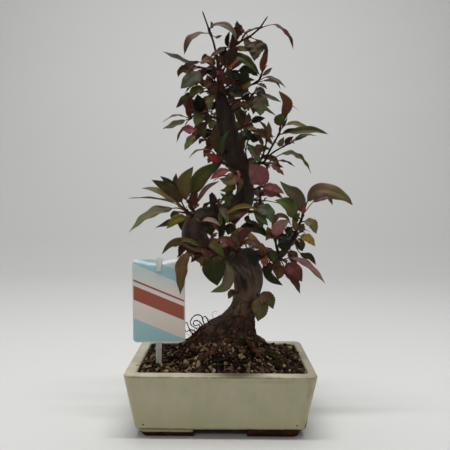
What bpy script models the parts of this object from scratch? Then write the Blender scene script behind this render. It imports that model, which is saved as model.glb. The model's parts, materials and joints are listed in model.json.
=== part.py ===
"""A crabapple bonsai in its glazed pot, with a plant label.

Layout figures are millimetres in the pot's frame: X to the right, Y away from the front, Z up, with
zero on the ground under the middle of the pot. MM turns them into metres.
"""

import math

import bmesh
import bpy
import numpy as np
from mathutils import Matrix, Vector, noise

MM = 0.001
TOUCH = 0.3  # the gap left between pieces that rest on each other

# Pot
POT_WIDTH = 203
POT_DEPTH = 155
POT_HEIGHT = 70
RIM_WIDTH = 12.5
WALL_TAPER = 9.5
BODY_BOTTOM = 8
FLOOR_TOP = 14
CORNER_RADIUS = 9
FOOT_INSET = 13.5
FOOT_TAPER = 4.5
FOOT_THICKNESS = 15
FOOT_GAP_FRONT = 64
FOOT_GAP_SIDE = 46
DRAIN_RADIUS = 8
DRAIN_OFFSET = 45
WIRE_HOLE_RADIUS = 2

# Soil
SOIL_LEVEL = 65.5
MOUND_HEIGHT = 34
MOUND_CENTRE = (5, 0)
MOUND_REACH = (57, 46)
CRUMB_HEIGHT = 1.5
SOIL_CELL = 9.5

# Drainage screens
SCREEN_SIDE = 27
SCREEN_THICKNESS = 1.2
SCREEN_HOLE = 9
SCREEN_PITCH = 11.5

# Label
CARD_WIDTH = 59
CARD_HEIGHT = 94
CARD_THICKNESS = 1
CARD_CORNER = 4
CARD_CENTRE = (-70.2, -30, 141)
CARD_LEAN = math.radians(0.8)
STAKE_WIDTH = 6.5
STAKE_THICKNESS = 1.2
STAKE_BOTTOM = 47
STAKE_CLIP = 14

# Leaves and twigs
BLADE_THICKNESS = 1.1
STALK_THICKNESS = 1.3
FOLD = 0.28
STALK_SHARE = 0.22
TWIG_SIDES = 5
BARK_GAP = 0.5

# The tree is laid out on a front elevation. Its widths and heights are the ones seen from this point in
# front of the pot, on the plane of the trunk, and each depth carries its point along the line of sight.
VIEW_POINT = Vector((3.5, -677.5, 257))

COLOURS = {
    "glaze": (0.50, 0.49, 0.40, 0.25),
    "soil": (0.035, 0.024, 0.018, 0.95),
    "bark": (0.085, 0.055, 0.042, 0.85),
    "card": (0.45, 0.47, 0.45, 0.3),
    "clear_plastic": (0.62, 0.64, 0.64, 0.25),
    "screen_plastic": (0.02, 0.02, 0.02, 0.5),
    "olive": (0.10, 0.11, 0.028, 0.45),
    "green": (0.07, 0.12, 0.025, 0.45),
    "sage": (0.14, 0.16, 0.09, 0.45),
    "shade": (0.025, 0.035, 0.015, 0.45),
    "gold": (0.20, 0.17, 0.03, 0.45),
    "copper": (0.20, 0.075, 0.025, 0.45),
    "brown": (0.085, 0.05, 0.03, 0.45),
    "maroon": (0.09, 0.025, 0.025, 0.45),
    "crimson": (0.20, 0.035, 0.04, 0.45),
    "rose": (0.26, 0.11, 0.105, 0.45),
    "mauve": (0.17, 0.12, 0.11, 0.45),
}

# Trunk rings: x, z, y, half-width across, half-depth, depth of the root lobes
TRUNK_RINGS = [
    (2, 46, 0, 40, 33, 0.05),
    (3, 62, 0, 48, 39, 0.08),
    (3, 76, 0, 48, 38, 0.13),
    (3.5, 86, 0, 43, 34, 0.15),
    (6, 95, 0, 36, 29, 0.15),
    (9, 104, 0, 30, 25, 0.13),
    (13.5, 112, 0, 24, 22, 0.11),
    (19.5, 120, 0, 18.5, 19, 0.08),
    (24.5, 130, 0, 14.8, 16.5, 0.05),
    (29.5, 141, 0, 15, 15, 0.03),
    (32, 152, 0, 16.5, 15, 0.03),
    (31, 163, 0, 18, 16, 0.02),
    (26, 175, -1, 18, 16.5, 0.02),
    (16, 184, -2, 16.5, 16, 0.02),
    (4, 189, -2, 15.5, 15.5, 0.02),
    (-9, 191.5, -2, 15.2, 15.5, 0.02),
    (-22, 196.5, -4, 15.2, 15.5, 0.02),
    (-30.5, 206, -5, 15.5, 15.5, 0.02),
    (-32.5, 216, -5, 15.3, 15, 0.02),
    (-29, 226.5, -4, 14, 14, 0.02),
    (-21, 234, -3, 12.5, 13, 0.02),
    (-10, 237, -1, 11.7, 12, 0.02),
    (3, 239.5, 2, 11.8, 12, 0.03),
    (15, 244.5, 4, 12.5, 12.5, 0.03),
    (24, 253, 5, 12.5, 12.5, 0.03),
    (27, 263, 4, 10.8, 11.5, 0.02),
    (26, 274, 4, 10, 11, 0.02),
    (23.5, 285, 3, 10.3, 11, 0.02),
    (18.5, 297, 2, 11.8, 12, 0.03),
    (12.5, 311, 1, 12.8, 12.5, 0.03),
    (8, 327, 0, 12.2, 12, 0.02),
    (4, 342, 0, 12, 11.5, 0.02),
    (2, 356, 0, 10.4, 10, 0.02),
    (-1.5, 369, 0, 8.3, 8, 0),
    (-3.5, 381, 0, 5.8, 5.8, 0),
]
TRUNK_SIDES = 12
ROOT_LOBES = 5
LEADER = [(-3, 374, 0), (-4, 388, 0), (-5, 400, 0), (-6, 412, 0), (-8, 424, 0)]
LEADER_GIRTH = (4.8, 1.9)

# Main branches and surface roots, each with its path, its first and last radius and its sides
BRANCHES = [
    ([(14, 296, 2), (27, 293.5, 0), (38, 296.5, -3), (50, 299, -5)], (4.2, 2.0), 6),
    ([(28, 176, 0), (40, 189, -1), (52, 192.5, -3), (68, 190.5, -5), (79, 203, -6), (90, 227, -8)], (8, 1.9), 8),
]
ROOTS = [
    ([(8, 106, -6), (-16, 92, -10), (-40, 78, -13), (-58, 66, -15)], (8, 4), 6),
    ([(14, 108, -8), (4, 92, -24), (-10, 78, -34), (-26, 64, -42)], (8, 4), 6),
    ([(22, 102, -10), (32, 88, -24), (40, 76, -32), (50, 64, -38)], (7, 4), 6),
    ([(24, 110, 8), (30, 92, 24), (38, 76, 34), (46, 64, 40)], (8, 4), 6),
]

# Leafy shoots. A twig is a path of (x, z, y) points with its first and last radius. A leaf is where it
# leaves the twig, as a share of its length, then the points its midrib passes, its width, the way its
# upper side faces (0 up, 90 to the front, in degrees), its colour and, if unusual, its stalk's share.
SHOOTS = {
    "leader_shoot": {
        "twig": [(-6.5, 415, 0), (-12, 438, -1), (-16.5, 450, -1), (-24, 470.5, 1)],
        "girth": (1.5, 0.8),
        "leaves": [
            (0.55, [(-25, 446.5, -6), (-35, 443.5, -12), (-42, 435, -16), (-45, 422, -18)], 11, 50, "copper"),
            (0.52, [(-8, 442, -4), (-1.5, 444, -7)], 4.5, 55, "sage", 0.4),
            (0.62, [(-13, 455, -5), (-5, 457, -10), (4, 455, -15), (12, 447, -18), (15, 437, -20)], 12, 60, "mauve", 0.15),
            (0.62, [(-13, 455, 0), (-14.5, 460, 1)], 4, 60, "mauve"),
        ],
    },
    "crown_right_shoot": {
        "twig": [(-5, 403, 0), (2, 418, -4), (10, 430, -7), (20, 437.5, -8), (30, 443, -9), (41, 452.5, -10), (50, 465, -11)],
        "girth": (1.7, 0.8),
        "leaves": [
            (0.45, [(16, 443, -8), (17, 452, -9), (15, 461, -10)], 12, 80, "copper", 0.4),
            (0.62, [(27, 449, -12), (34, 451.5, -14), (40, 454, -16)], 3.5, 40, "mauve"),
            (0.80, [(50, 455.5, -13), (58, 457, -15), (70, 450.5, -18), (78, 440, -20), (80.5, 429, -21)], 6, 35, "maroon"),
            (0.60, [(34, 434, -15), (38, 427, -19), (36, 415, -22)], 18, 75, "brown"),
            (0.64, [(39, 439, -8), (47, 433, -10), (51.5, 421, -12)], 9, 45, "sage"),
            (0.40, [(20, 430, -14), (32, 427, -18)], 8, 70, "olive"),
            (0.30, [(4, 438, -10), (7, 449, -12)], 5.5, 70, "shade"),
            (0.48, [(14, 442, -5), (16, 449, -3)], 9, 70, "maroon"),
            (0.38, [(2, 430, -12), (-7, 425, -15), (-16.5, 418.5, -18)], 8, 65, "brown"),
            (0.22, [(14, 421, -18), (22, 418.5, -20), (32, 411, -22), (42.5, 399, -24)], 10, 60, "olive"),
        ],
    },
    "crown_left_shoot": {
        "twig": [(-4.8, 397, 0), (-14, 403, -3), (-24, 407, -5), (-30, 408, -6)],
        "girth": (1.5, 0.9),
        "leaves": [
            (0.97, [(-38, 412, -8), (-50, 416.5, -10), (-69.5, 425, -13)], 11, 50, "olive"),
            (0.75, [(-29, 401, -12), (-37, 394, -16), (-49, 383, -20)], 22, 65, "olive"),
            (0.90, [(-40, 404, -1), (-46, 405.5, 1), (-51, 401.5, 2), (-52, 396, 3)], 9, 70, "brown"),
            (0.95, [(-37, 408, -10), (-39.5, 401.5, -13)], 6, 65, "crimson"),
            (0.40, [(-12, 413, -9), (-18, 415.5, -13), (-26.5, 411, -16)], 12, 70, "copper"),
        ],
    },
    "crown_front_shoot": {
        "twig": [(-4.6, 394, 0), (-2, 400, -8), (2, 408, -14)],
        "girth": (1.3, 0.9),
        "leaves": [
            (0.80, [(5, 414, -19), (11, 424, -24), (17, 432, -27)], 14, 80, "maroon"),
            (0.97, [(8, 410, -20), (14, 414, -25), (20, 417, -29)], 10, 70, "copper"),
            (0.60, [(8, 402, -17), (15, 401, -23), (17, 392, -27)], 7, 55, "shade"),
            (0.50, [(-9, 400, -17), (-13, 407, -22), (-20, 405, -26)], 8, 70, "brown"),
        ],
    },
    "upper_right_shoot": {
        "twig": [(-2.5, 367, 0), (14, 377, 2), (28, 386, 3), (41, 393, 2), (45, 402, 0)],
        "girth": (1.9, 1.0),
        "leaves": [
            (0.97, [(45.5, 411, -3), (48, 421, -6), (48.5, 431, -9)], 8, 60, "maroon", 0.1),
            (0.90, [(50, 402, 3), (56.5, 408, 4)], 5.5, 60, "mauve"),
            (0.80, [(50, 397, 0), (60, 394.5, -3), (67, 390, -6), (72.5, 385, -8)], 7, 50, "mauve"),
            (0.80, [(55, 393, 6), (62, 391, 9), (66.5, 383.5, 11)], 4.5, 55, "mauve"),
            (0.75, [(45, 388, -4), (51, 383.5, -8)], 6, 60, "brown"),
        ],
    },
    "inner_upper_shoot": {
        "twig": [(-3.5, 377, 0), (8, 384, -10), (18, 388, -16)],
        "girth": (1.4, 0.9),
        "leaves": [
            (0.92, [(23, 393, -20), (24, 400, -22), (22, 407, -23)], 13, 80, "shade"),
            (0.97, [(26, 387, -22), (34, 388, -25)], 10, 75, "gold"),
            (0.80, [(28, 393, -16), (37, 393.5, -17)], 8, 60, "maroon"),
            (0.55, [(12, 379, -18), (21, 374, -24)], 9, 70, "brown"),
        ],
    },
    "left_upper_shoot": {
        "twig": [(-3.4, 373, 0), (-10, 379, -3), (-19, 385, -5), (-28, 390.5, -5)],
        "girth": (1.4, 0.8),
        "leaves": [
            (0.98, [(-33, 389, -5), (-39, 384, -6), (-44.5, 377.5, -7)], 5.5, 40, "shade"),
            (0.60, [(-26, 382.5, -12), (-33, 380.5, -16), (-39.5, 374, -19)], 11, 65, "gold"),
            (0.30, [(-14, 374, -12), (-15, 366, -17), (-15, 357, -20)], 11, 85, "olive"),
            (0.50, [(-15, 391, -6), (-19, 399, -8)], 8, 70, "brown"),
        ],
    },
    "left_middle_shoot": {
        "twig": [(3, 344, 0), (-10, 350, 6), (-22, 354, 8), (-32, 354, 7), (-38, 348, 5)],
        "girth": (1.6, 0.9),
        "leaves": [
            (0.58, [(-26, 362, -1), (-28, 370, -4), (-29.5, 377, -6)], 15, 80, "shade"),
            (0.78, [(-36, 362, 7), (-42, 369, 5), (-48.5, 374, 3)], 14, 75, "sage"),
            (0.95, [(-39.5, 355, -2), (-40, 364, -4), (-38.5, 374.5, -5)], 7, 75, "crimson", 0.05),
            (0.99, [(-45, 351, 4), (-54, 352.5, 2), (-62, 349.5, 0), (-69.5, 344.5, -2)], 5.5, 45, "rose"),
            (0.99, [(-45, 346.5, 0), (-56, 342, -4), (-69.5, 336.5, -8)], 10, 45, "sage"),
            (0.65, [(-27, 351, -6), (-30, 345, -11), (-32, 340, -13)], 14, 75, "olive"),
        ],
    },
    "left_lower_shoot": {
        "twig": [(13, 310, 0), (-2, 312, -12), (-12, 318, -15), (-22, 327, -16), (-31, 335, -16)],
        "girth": (1.5, 0.9),
        "leaves": [
            (0.98, [(-38, 336, -19), (-47.5, 338.5, -23)], 11, 70, "rose", 0.12),
            (0.99, [(-42, 339, -13), (-49, 333, -10), (-53.5, 321, -8)], 4, 45, "maroon"),
            (0.95, [(-34, 329, -20), (-39, 321, -22), (-44.5, 312, -24)], 10, 60, "sage"),
            (0.70, [(-25, 323.5, -20), (-27, 319, -22)], 5.5, 70, "shade"),
            (0.75, [(-22, 333, -20), (-18.5, 339.5, -22)], 6.5, 75, "green"),
        ],
    },
    "front_left_shoot": {
        "twig": [(17, 296, 0), (8, 295, -14), (2, 298, -18), (-5, 303, -20)],
        "girth": (1.5, 1.0),
        "leaves": [
            (0.85, [(-7, 302, -25), (-14, 305.5, -27), (-22, 309, -29)], 10, 65, "crimson", 0.1),
            (0.98, [(-10, 309, -21), (-18, 312.5, -21), (-28, 312, -23), (-34, 308.5, -25), (-39, 303, -26)], 5.5, 35, "mauve"),
            (0.98, [(-6, 318, -26), (-9.5, 328, -28), (-11.5, 339, -29)], 13, 80, "brown"),
            (0.85, [(-1, 313, -31), (1, 325, -33), (8, 336.5, -33)], 6.5, 65, "green"),
            (0.60, [(-2, 306, -14), (-9, 316, -16)], 7, 70, "green"),
        ],
    },
    "right_grey_shoot": {
        "twig": [(0.5, 354, 0), (18, 361, -8), (28, 370, -13), (36, 379, -15)],
        "girth": (1.5, 0.9),
        "leaves": [
            (0.90, [(40, 372, -21), (44, 363, -23), (43.5, 352.5, -25)], 21, 80, "sage"),
            (0.98, [(45, 377, -13), (56, 373.5, -13), (67.5, 368.5, -14)], 6, 55, "sage"),
            (0.55, [(36, 362, -6), (50, 360, -6), (62, 352.5, -7)], 6, 45, "olive"),
            (0.98, [(40, 383, -20), (50, 377, -23)], 8, 60, "shade"),
            (0.60, [(28, 366, -20), (30, 358, -23)], 9, 75, "brown"),
        ],
    },
    "right_dark_shoot": {
        "twig": [(6, 334, 0), (20, 338, -12), (30, 343, -15)],
        "girth": (1.4, 0.9),
        "leaves": [
            (0.97, [(38, 348, -18), (49, 350, -20)], 8, 60, "shade"),
            (0.85, [(33, 338, -20), (40, 336, -23)], 8, 60, "brown"),
            (0.60, [(26, 332, -20), (37, 325, -25)], 12, 70, "shade"),
            (0.85, [(30, 350, -11), (30, 356, -10)], 7, 60, "brown"),
        ],
    },
    "fan_upper_shoot": {
        "twig": [(48.5, 298.5, -6), (54, 311, -8.5), (61, 324, -8.5), (66, 334, -8), (67, 340, -8)],
        "girth": (1.4, 0.9),
        "leaves": [
            (0.98, [(65.5, 346, -12), (70, 356, -14)], 13, 85, "green", 0.15),
            (0.98, [(71, 353, -5), (74.5, 366, -7), (64.5, 381.5, -9)], 13, 80, "copper", 0.3),
            (0.98, [(73, 352, 0), (79, 364.5, 2), (87, 360, 3)], 3, 50, "shade"),
            (0.92, [(72, 341.5, -11), (82, 344.5, -13), (92, 341.5, -15), (104, 335, -17)], 7, 50, "olive"),
            (0.80, [(80, 334, -17), (96, 336, -21), (108, 336, -23), (122.5, 332, -25)], 10, 60, "olive"),
            (0.78, [(74, 334, -3), (81, 336, -3), (92, 335, -4)], 6, 60, "shade"),
            (0.90, [(72, 344.5, -6), (75, 351, -7)], 3, 50, "maroon"),
            (0.60, [(66, 320, -12), (71, 328.5, -14)], 7, 75, "sage"),
        ],
    },
    "fan_lower_shoot": {
        "twig": [(47, 298, -3.5), (57, 309, 1), (69, 316.5, 2), (80, 322, 3)],
        "girth": (1.2, 0.8),
        "leaves": [
            (0.98, [(88, 326.5, 3), (100, 331, 4)], 4, 45, "shade"),
            (0.95, [(84, 326.5, 1), (95, 331, -2), (109, 330, -5)], 5, 50, "olive"),
            (0.75, [(75, 323, -2), (82, 329, -4)], 7, 65, "brown"),
        ],
    },
    "fan_inner_shoot": {
        "twig": [(42, 296, -4), (46.5, 306, -11), (49.5, 316, -13), (51.5, 326, -13)],
        "girth": (1.2, 0.8),
        "leaves": [
            (0.98, [(50, 332, -16), (47, 336, -18), (42, 336.5, -20)], 7, 55, "maroon"),
            (0.92, [(53.5, 335, -16), (53, 346, -18)], 7, 75, "brown", 0.1),
            (0.97, [(55, 331, -11), (58, 326, -10)], 4, 60, "brown"),
            (0.97, [(50.5, 337, -10), (46, 343.5, -9), (41, 347, -8)], 4, 45, "mauve"),
            (0.60, [(45, 323, -15), (40, 329.5, -17), (33, 332, -19)], 6, 50, "brown"),
            (0.30, [(40, 308, -14), (33, 315, -18), (25, 323, -20)], 9, 65, "sage"),
            (0.40, [(42, 311, -19), (41, 316, -23), (47, 319.5, -25)], 9, 70, "brown"),
        ],
    },
    "arching_shoot": {
        "twig": [(47, 297.5, -5), (52, 296.5, -12)],
        "girth": (1.4, 1.1),
        "leaves": [
            (0.90, [(62, 305, -13), (72, 309.5, -15), (84, 308.5, -18), (94, 301.5, -20), (103.5, 286.5, -22)], 11, 50, "olive", 0.3),
            (0.97, [(62, 300.5, -14), (74, 300, -16), (84.5, 294, -18)], 5.5, 40, "maroon"),
            (0.70, [(60, 297, -7), (71, 293, -7)], 5, 45, "maroon"),
            (0.97, [(58, 294.5, -16), (65, 290, -18), (72, 284, -20)], 8, 50, "maroon"),
            (0.60, [(52, 294, -8), (49.5, 288, -9)], 3.5, 60, "sage"),
        ],
    },
    "rose_shoot": {
        "twig": [(26.5, 264, 3), (36, 267.5, -6), (44, 269.5, -12)],
        "girth": (1.5, 1.0),
        "leaves": [
            (0.95, [(44.5, 276, -16), (40, 286, -19), (31, 297, -21)], 24, 80, "rose", 0.12),
            (0.98, [(52, 270.5, -15), (61, 269, -16), (72.5, 262.5, -18)], 10, 60, "crimson", 0.1),
            (0.90, [(54, 262, -8), (62, 262.5, -8), (71, 257, -8)], 8, 50, "mauve"),
            (0.95, [(44.3, 258, -10), (44, 246, -9)], 3, 60, "shade"),
        ],
    },
    "middle_shoot": {
        "twig": [(24, 282, 1), (19, 285, -13), (13, 286.5, -19)],
        "girth": (1.4, 1.0),
        "leaves": [
            (0.80, [(12, 279, -23), (5, 276.5, -25), (-3.5, 279.5, -26)], 14, 75, "mauve", 0.12),
            (0.70, [(9, 270, -24), (3, 266, -26), (-3, 266, -27)], 8, 65, "olive"),
            (0.98, [(5, 289, -23), (-4, 286, -26), (-14, 278.5, -28)], 9, 65, "rose"),
            (0.95, [(17, 289, -22), (19.5, 284, -24), (17, 276, -25)], 3.5, 50, "rose"),
            (0.60, [(21, 275, -19), (19, 263, -21)], 7, 70, "olive"),
        ],
    },
    "left_cluster_high": {
        "twig": [(-23, 231, -4), (-32, 240, -7), (-37, 247, -9)],
        "girth": (2.0, 1.1),
        "leaves": [
            (0.98, [(-42, 258, -12), (-45, 273, -16), (-34, 293.5, -18)], 16, 75, "olive"),
            (0.90, [(-35, 262, -3), (-26, 280, 0), (-3, 299, 3)], 18, 70, "green"),
            (0.80, [(-33, 254, -15), (-29, 266, -19)], 13, 80, "maroon"),
            (0.70, [(-27, 256, -10), (-18, 269, -12), (-3, 277, -13)], 6, 45, "mauve"),
            (0.97, [(-48, 263, -4), (-55, 275, -2), (-54, 286, 0)], 11, 70, "brown"),
        ],
    },
    "left_cluster_low": {
        "twig": [(-26, 227, -6), (-36, 237, -14), (-43, 243, -17)],
        "girth": (1.8, 1.1),
        "leaves": [
            (0.85, [(-52, 245, -21), (-62, 244, -23), (-77, 242, -26), (-92, 233.5, -28), (-109, 216, -30)], 15, 55, "green", 0.25),
            (0.97, [(-56, 250.5, -16), (-68, 254, -17), (-88, 256.5, -18), (-109.5, 256, -19)], 8, 18, "sage"),
            (0.98, [(-54, 253, -18), (-66, 260, -20), (-79, 266, -21), (-94, 267.5, -22)], 12, 60, "olive"),
            (0.95, [(-52, 258, -25), (-63, 268, -29), (-73, 273, -31), (-82.5, 277.5, -31)], 16, 75, "copper"),
            (0.95, [(-55, 266, -12), (-64, 276, -13), (-72.5, 282, -13)], 11, 70, "green"),
            (0.60, [(-48, 231.5, -20), (-58, 229, -22), (-67, 226, -24), (-78, 221.5, -25)], 9, 60, "brown"),
            (0.55, [(-56, 230, -28), (-65, 220.5, -31)], 11, 70, "gold"),
        ],
    },
    "limb_top_shoot": {
        "twig": [(-9, 238, -1), (-8, 245, -12), (-6, 249, -17)],
        "girth": (1.4, 1.0),
        "leaves": [
            (0.90, [(-10, 254, -19), (-12, 264, -20)], 9, 80, "shade", 0.12),
            (0.98, [(7, 249.5, -19), (5, 256, -21), (-2.5, 263, -22)], 7, 70, "green"),
            (0.97, [(5, 240, -23), (17, 245.5, -25), (28, 247.5, -26), (43, 243, -27)], 7, 50, "gold"),
            (0.85, [(-2, 236, -20), (0, 222, -22), (-3, 203, -22)], 9, 60, "shade"),
        ],
    },
    "sage_shoot": {
        "twig": [(20, 248, 4), (29, 242, -9), (36, 241, -14)],
        "girth": (1.5, 1.0),
        "leaves": [
            (0.90, [(44, 245, -18), (53, 241.5, -20), (59, 227.5, -22)], 17, 70, "sage"),
            (0.98, [(42, 236.5, -19), (48, 232, -22), (54, 225, -24)], 8, 60, "green"),
            (0.90, [(24, 237, -16), (17, 230, -16), (12, 220.5, -17)], 4, 45, "mauve"),
            (0.85, [(29, 232, -15), (38, 226.5, -17)], 7, 60, "shade"),
            (0.50, [(20, 239, -18), (12, 236, -21), (4, 231, -23)], 10, 70, "brown"),
        ],
    },
    "under_limb_shoot": {
        "twig": [(6, 189, -2), (9, 200, -19), (10, 211, -23)],
        "girth": (1.5, 1.0),
        "leaves": [
            (0.90, [(12, 213, -27), (17, 209.5, -30), (27, 203, -33)], 18, 75, "olive"),
            (0.98, [(20, 219, -19), (32, 214.5, -21), (47, 203, -23)], 9, 60, "copper", 0.1),
            (0.98, [(24, 222, -13), (36, 224, -14), (47, 218, -16), (55, 211, -17)], 15, 70, "shade", 0.3),
            (0.60, [(4, 204, -25), (-3, 198, -28)], 9, 70, "brown"),
        ],
    },
    "centre_shoot": {
        "twig": [(14, 187, -2), (17, 192, -24), (21, 200, -37)],
        "girth": (1.5, 1.0),
        "leaves": [
            (0.95, [(30, 207, -42), (40, 204, -44), (52, 195, -45)], 9, 60, "brown"),
            (0.90, [(24, 213, -40), (31, 220, -43), (39, 220, -45)], 10, 70, "maroon"),
            (0.80, [(29, 196, -38), (36, 189, -41), (40, 176, -42)], 12, 60, "shade"),
            (0.65, [(18, 190, -33), (22, 177, -36), (28, 160, -36)], 14, 75, "brown"),
            (0.75, [(12, 204, -40), (3, 209, -43), (-8, 207, -45)], 9, 65, "maroon"),
        ],
    },
    "right_tip_shoot": {
        "twig": [(87.5, 222, -7.6), (92.5, 232, -9), (95, 240, -10)],
        "girth": (1.4, 1.1),
        "leaves": [
            (0.98, [(100, 255, -13), (108, 265, -16), (121, 267, -19), (136, 262.5, -22), (146, 257, -24), (152.5, 249.5, -25)], 20, 60, "copper", 0.2),
            (0.97, [(112, 257, -23), (124, 259, -26), (129, 249.5, -27)], 9, 75, "mauve", 0.4),
            (0.85, [(91, 250, -14), (86, 261, -17), (77, 267, -19), (67, 277, -20)], 18, 70, "mauve", 0.1),
            (0.60, [(84, 240, -17), (77, 249.5, -20), (61, 255, -22)], 18, 70, "green"),
            (0.40, [(96, 230.5, -14), (105, 228, -17), (110.5, 216, -19)], 12, 60, "brown"),
            (0.80, [(95, 244, -14), (97, 251, -15)], 5, 60, "crimson"),
        ],
    },
    "right_side_shoot": {
        "twig": [(81.5, 207, -6.4), (86, 212, -13), (89, 216, -17)],
        "girth": (1.3, 1.0),
        "leaves": [
            (0.80, [(93, 213, -21), (100, 211.5, -23), (109.5, 201.5, -25)], 10, 60, "gold"),
            (0.98, [(95, 221, -19), (103, 218.5, -20)], 3.5, 50, "mauve"),
            (0.45, [(88, 205, -14), (92, 196.5, -15)], 4.5, 60, "shade"),
            (0.60, [(93, 208, -17), (98, 202, -18)], 4, 60, "brown"),
            (0.98, [(86.5, 224, -21), (82, 233, -23)], 8, 70, "brown"),
            (0.50, [(88, 198, -11), (95, 191, -12), (103, 189, -12), (110.5, 179.5, -13)], 8, 60, "brown", 0.45),
        ],
    },
    "pink_shoot": {
        "twig": [(68, 190.5, -5), (64, 202, -13), (62, 211, -18)],
        "girth": (1.4, 1.0),
        "leaves": [
            (0.95, [(63, 218, -22), (69, 226, -25), (79, 232, -27)], 17, 75, "rose", 0.12),
            (0.90, [(60, 227, -14), (66, 237, -14), (74, 236, -15), (81, 225.5, -16)], 6, 50, "brown"),
            (0.85, [(69, 213, -19), (74, 206, -23), (70, 195, -26)], 15, 75, "shade"),
            (0.80, [(56, 214, -20), (51, 207.5, -22)], 7, 70, "maroon"),
        ],
    },
    "right_low_shoot": {
        "twig": [(61, 191.5, -4), (66, 187, -11), (72, 185.5, -14)],
        "girth": (1.4, 1.0),
        "leaves": [
            (0.98, [(81, 187.5, -15), (95, 184.5, -18), (108, 174.5, -21), (122, 157.5, -24)], 11, 50, "mauve", 0.15),
            (0.90, [(78, 179, -20), (87, 171, -24), (94.5, 159.5, -26)], 18, 60, "maroon"),
            (0.80, [(75, 174, -11), (86, 161, -13), (92.5, 145, -14)], 11, 55, "maroon"),
            (0.70, [(66, 178, -15), (68, 170, -18), (66, 161.5, -20)], 14, 75, "brown"),
            (0.50, [(62, 192, -15), (59, 183, -18)], 11, 75, "green"),
        ],
    },
    "knuckle_shoot": {
        "twig": [(40, 188, -1), (45, 190, -12), (47, 188, -16)],
        "girth": (1.4, 1.0),
        "leaves": [
            (0.90, [(48, 198, -19), (47, 205, -20)], 9, 75, "copper", 0.1),
            (0.97, [(50, 186, -20), (49, 177, -22)], 10, 80, "copper", 0.1),
            (0.97, [(50, 176, -17), (56, 165.5, -19), (72, 155, -21)], 10, 55, "shade"),
        ],
    },
    "neck_shoot": {
        "twig": [(34, 148, -2), (42, 144, -13), (45, 141, -16)],
        "girth": (1.4, 1.1),
        "leaves": [
            (0.80, [(51, 141, -17), (57, 137, -18), (61, 127, -19)], 12, 60, "brown", 0.12),
            (0.98, [(47, 133, -18), (48, 124, -20), (43.5, 113, -21)], 18, 75, "gold", 0.12),
        ],
    },
    "left_low_shoot": {
        "twig": [(-12, 192, -3), (-17, 198, -20), (-22, 199.5, -25)],
        "girth": (1.5, 1.1),
        "leaves": [
            (0.98, [(-36, 205, -27), (-47, 206, -26), (-60, 202.5, -23), (-70.5, 190.5, -20)], 10, 50, "mauve", 0.15),
            (0.90, [(-38, 203, -21), (-46, 198.5, -21), (-50.5, 187, -20)], 11, 65, "maroon"),
            (0.98, [(-30, 203, -31), (-40, 207, -33), (-48, 206, -34)], 7, 60, "gold"),
            (0.80, [(-26, 196, -31), (-36, 199, -34), (-47, 202, -37)], 8, 65, "brown"),
            (0.60, [(-19, 193, -28), (-24, 187, -31), (-22, 178.5, -32)], 15, 75, "brown"),
            (0.60, [(-13, 203, -30), (-5, 198, -33), (4, 185.5, -34)], 10, 65, "olive"),
        ],
    },
    "hanging_shoot": {
        "twig": [(-18, 196, -6), (-26, 192, -25), (-34, 190.5, -39)],
        "girth": (1.2, 0.9),
        "leaves": [
            (0.97, [(-41, 189, -41), (-46, 181, -42), (-47.5, 165, -43), (-48.5, 143, -43)], 15, 85, "brown", 0.12),
        ],
    },
    "front_low_shoot": {
        "twig": [(-2, 190, -3), (-6, 194, -24), (-9, 192.5, -30)],
        "girth": (1.5, 1.1),
        "leaves": [
            (0.95, [(-9, 184, -35), (-8, 169, -37), (-4, 151, -38)], 29, 82, "shade", 0.1),
            (0.80, [(6, 174, -27), (5, 158, -29), (-12.5, 146, -31)], 10, 65, "sage"),
            (0.70, [(5, 180, -25), (11, 168, -26), (8, 157, -27)], 11, 75, "green"),
        ],
    },
    "knob_shoot": {
        "twig": [(24, 148, -2), (18, 146, -14)],
        "girth": (1.3, 1.0),
        "leaves": [
            (0.90, [(12, 146, -16), (8, 138.5, -17)], 8, 65, "brown", 0.12),
        ],
    },
}

# Shoots on the far side: where the twig starts and ends, and the turn of its first leaf round it, in
# degrees. The leaves that follow turn by the golden angle.
BACK_SHOOTS = [
    ((-5, 402, 0), (-20, 414, 18), 0),
    ((-4, 392, 0), (14, 404, 24), 0),
    ((-3, 376, 0), (-20, 380, 28), 0),
    ((0, 362, 0), (22, 372, 34), 135),
    ((3, 346, 0), (-16, 350, 36), 105),
    ((8, 330, 0), (30, 340, 38), 30),
    ((13, 312, 1), (-4, 318, 40), 0),
    ((20, 294, 3), (40, 304, 42), 0),
    ((25, 272, 4), (14, 282, 42), 90),
    ((24, 252, 5), (48, 254, 42), 0),
    ((-4, 238, 0), (-4, 254, 40), 0),
    ((-24, 232, -3), (-48, 240, 30), 0),
    ((-8, 191, -2), (-22, 204, 38), 0),
    ((22, 179, -1), (34, 198, 40), 0),
    ((70, 191, -5), (84, 204, 24), 0),
]
BACK_LEAVES = 5
BACK_LEAF_LENGTH = 35
BACK_LEAF_WIDTH = 13
GOLDEN_ANGLE = math.radians(137.5)
BACK_TONES = ["olive", "maroon", "green", "brown", "sage", "mauve", "shade"]


def clear_scene():
    for obj in list(bpy.data.objects):
        bpy.data.objects.remove(obj, do_unlink=True)


def new_collection(name):
    collection = bpy.data.collections.new(name)
    bpy.context.scene.collection.children.link(collection)
    return collection


def make_material(name):
    red, green, blue, roughness = COLOURS[name]
    material = bpy.data.materials.new(name)
    material.use_nodes = True
    shader = material.node_tree.nodes["Principled BSDF"]
    shader.inputs["Base Color"].default_value = (red, green, blue, 1)
    shader.inputs["Roughness"].default_value = roughness
    material.diffuse_color = (red, green, blue, 1)
    return material


def add_object(name, mesh, tone, collection):
    obj = bpy.data.objects.new(name, mesh)
    collection.objects.link(obj)
    if tone:
        mesh.materials.clear()
        mesh.materials.append(MATERIALS[tone])
    return obj


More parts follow.
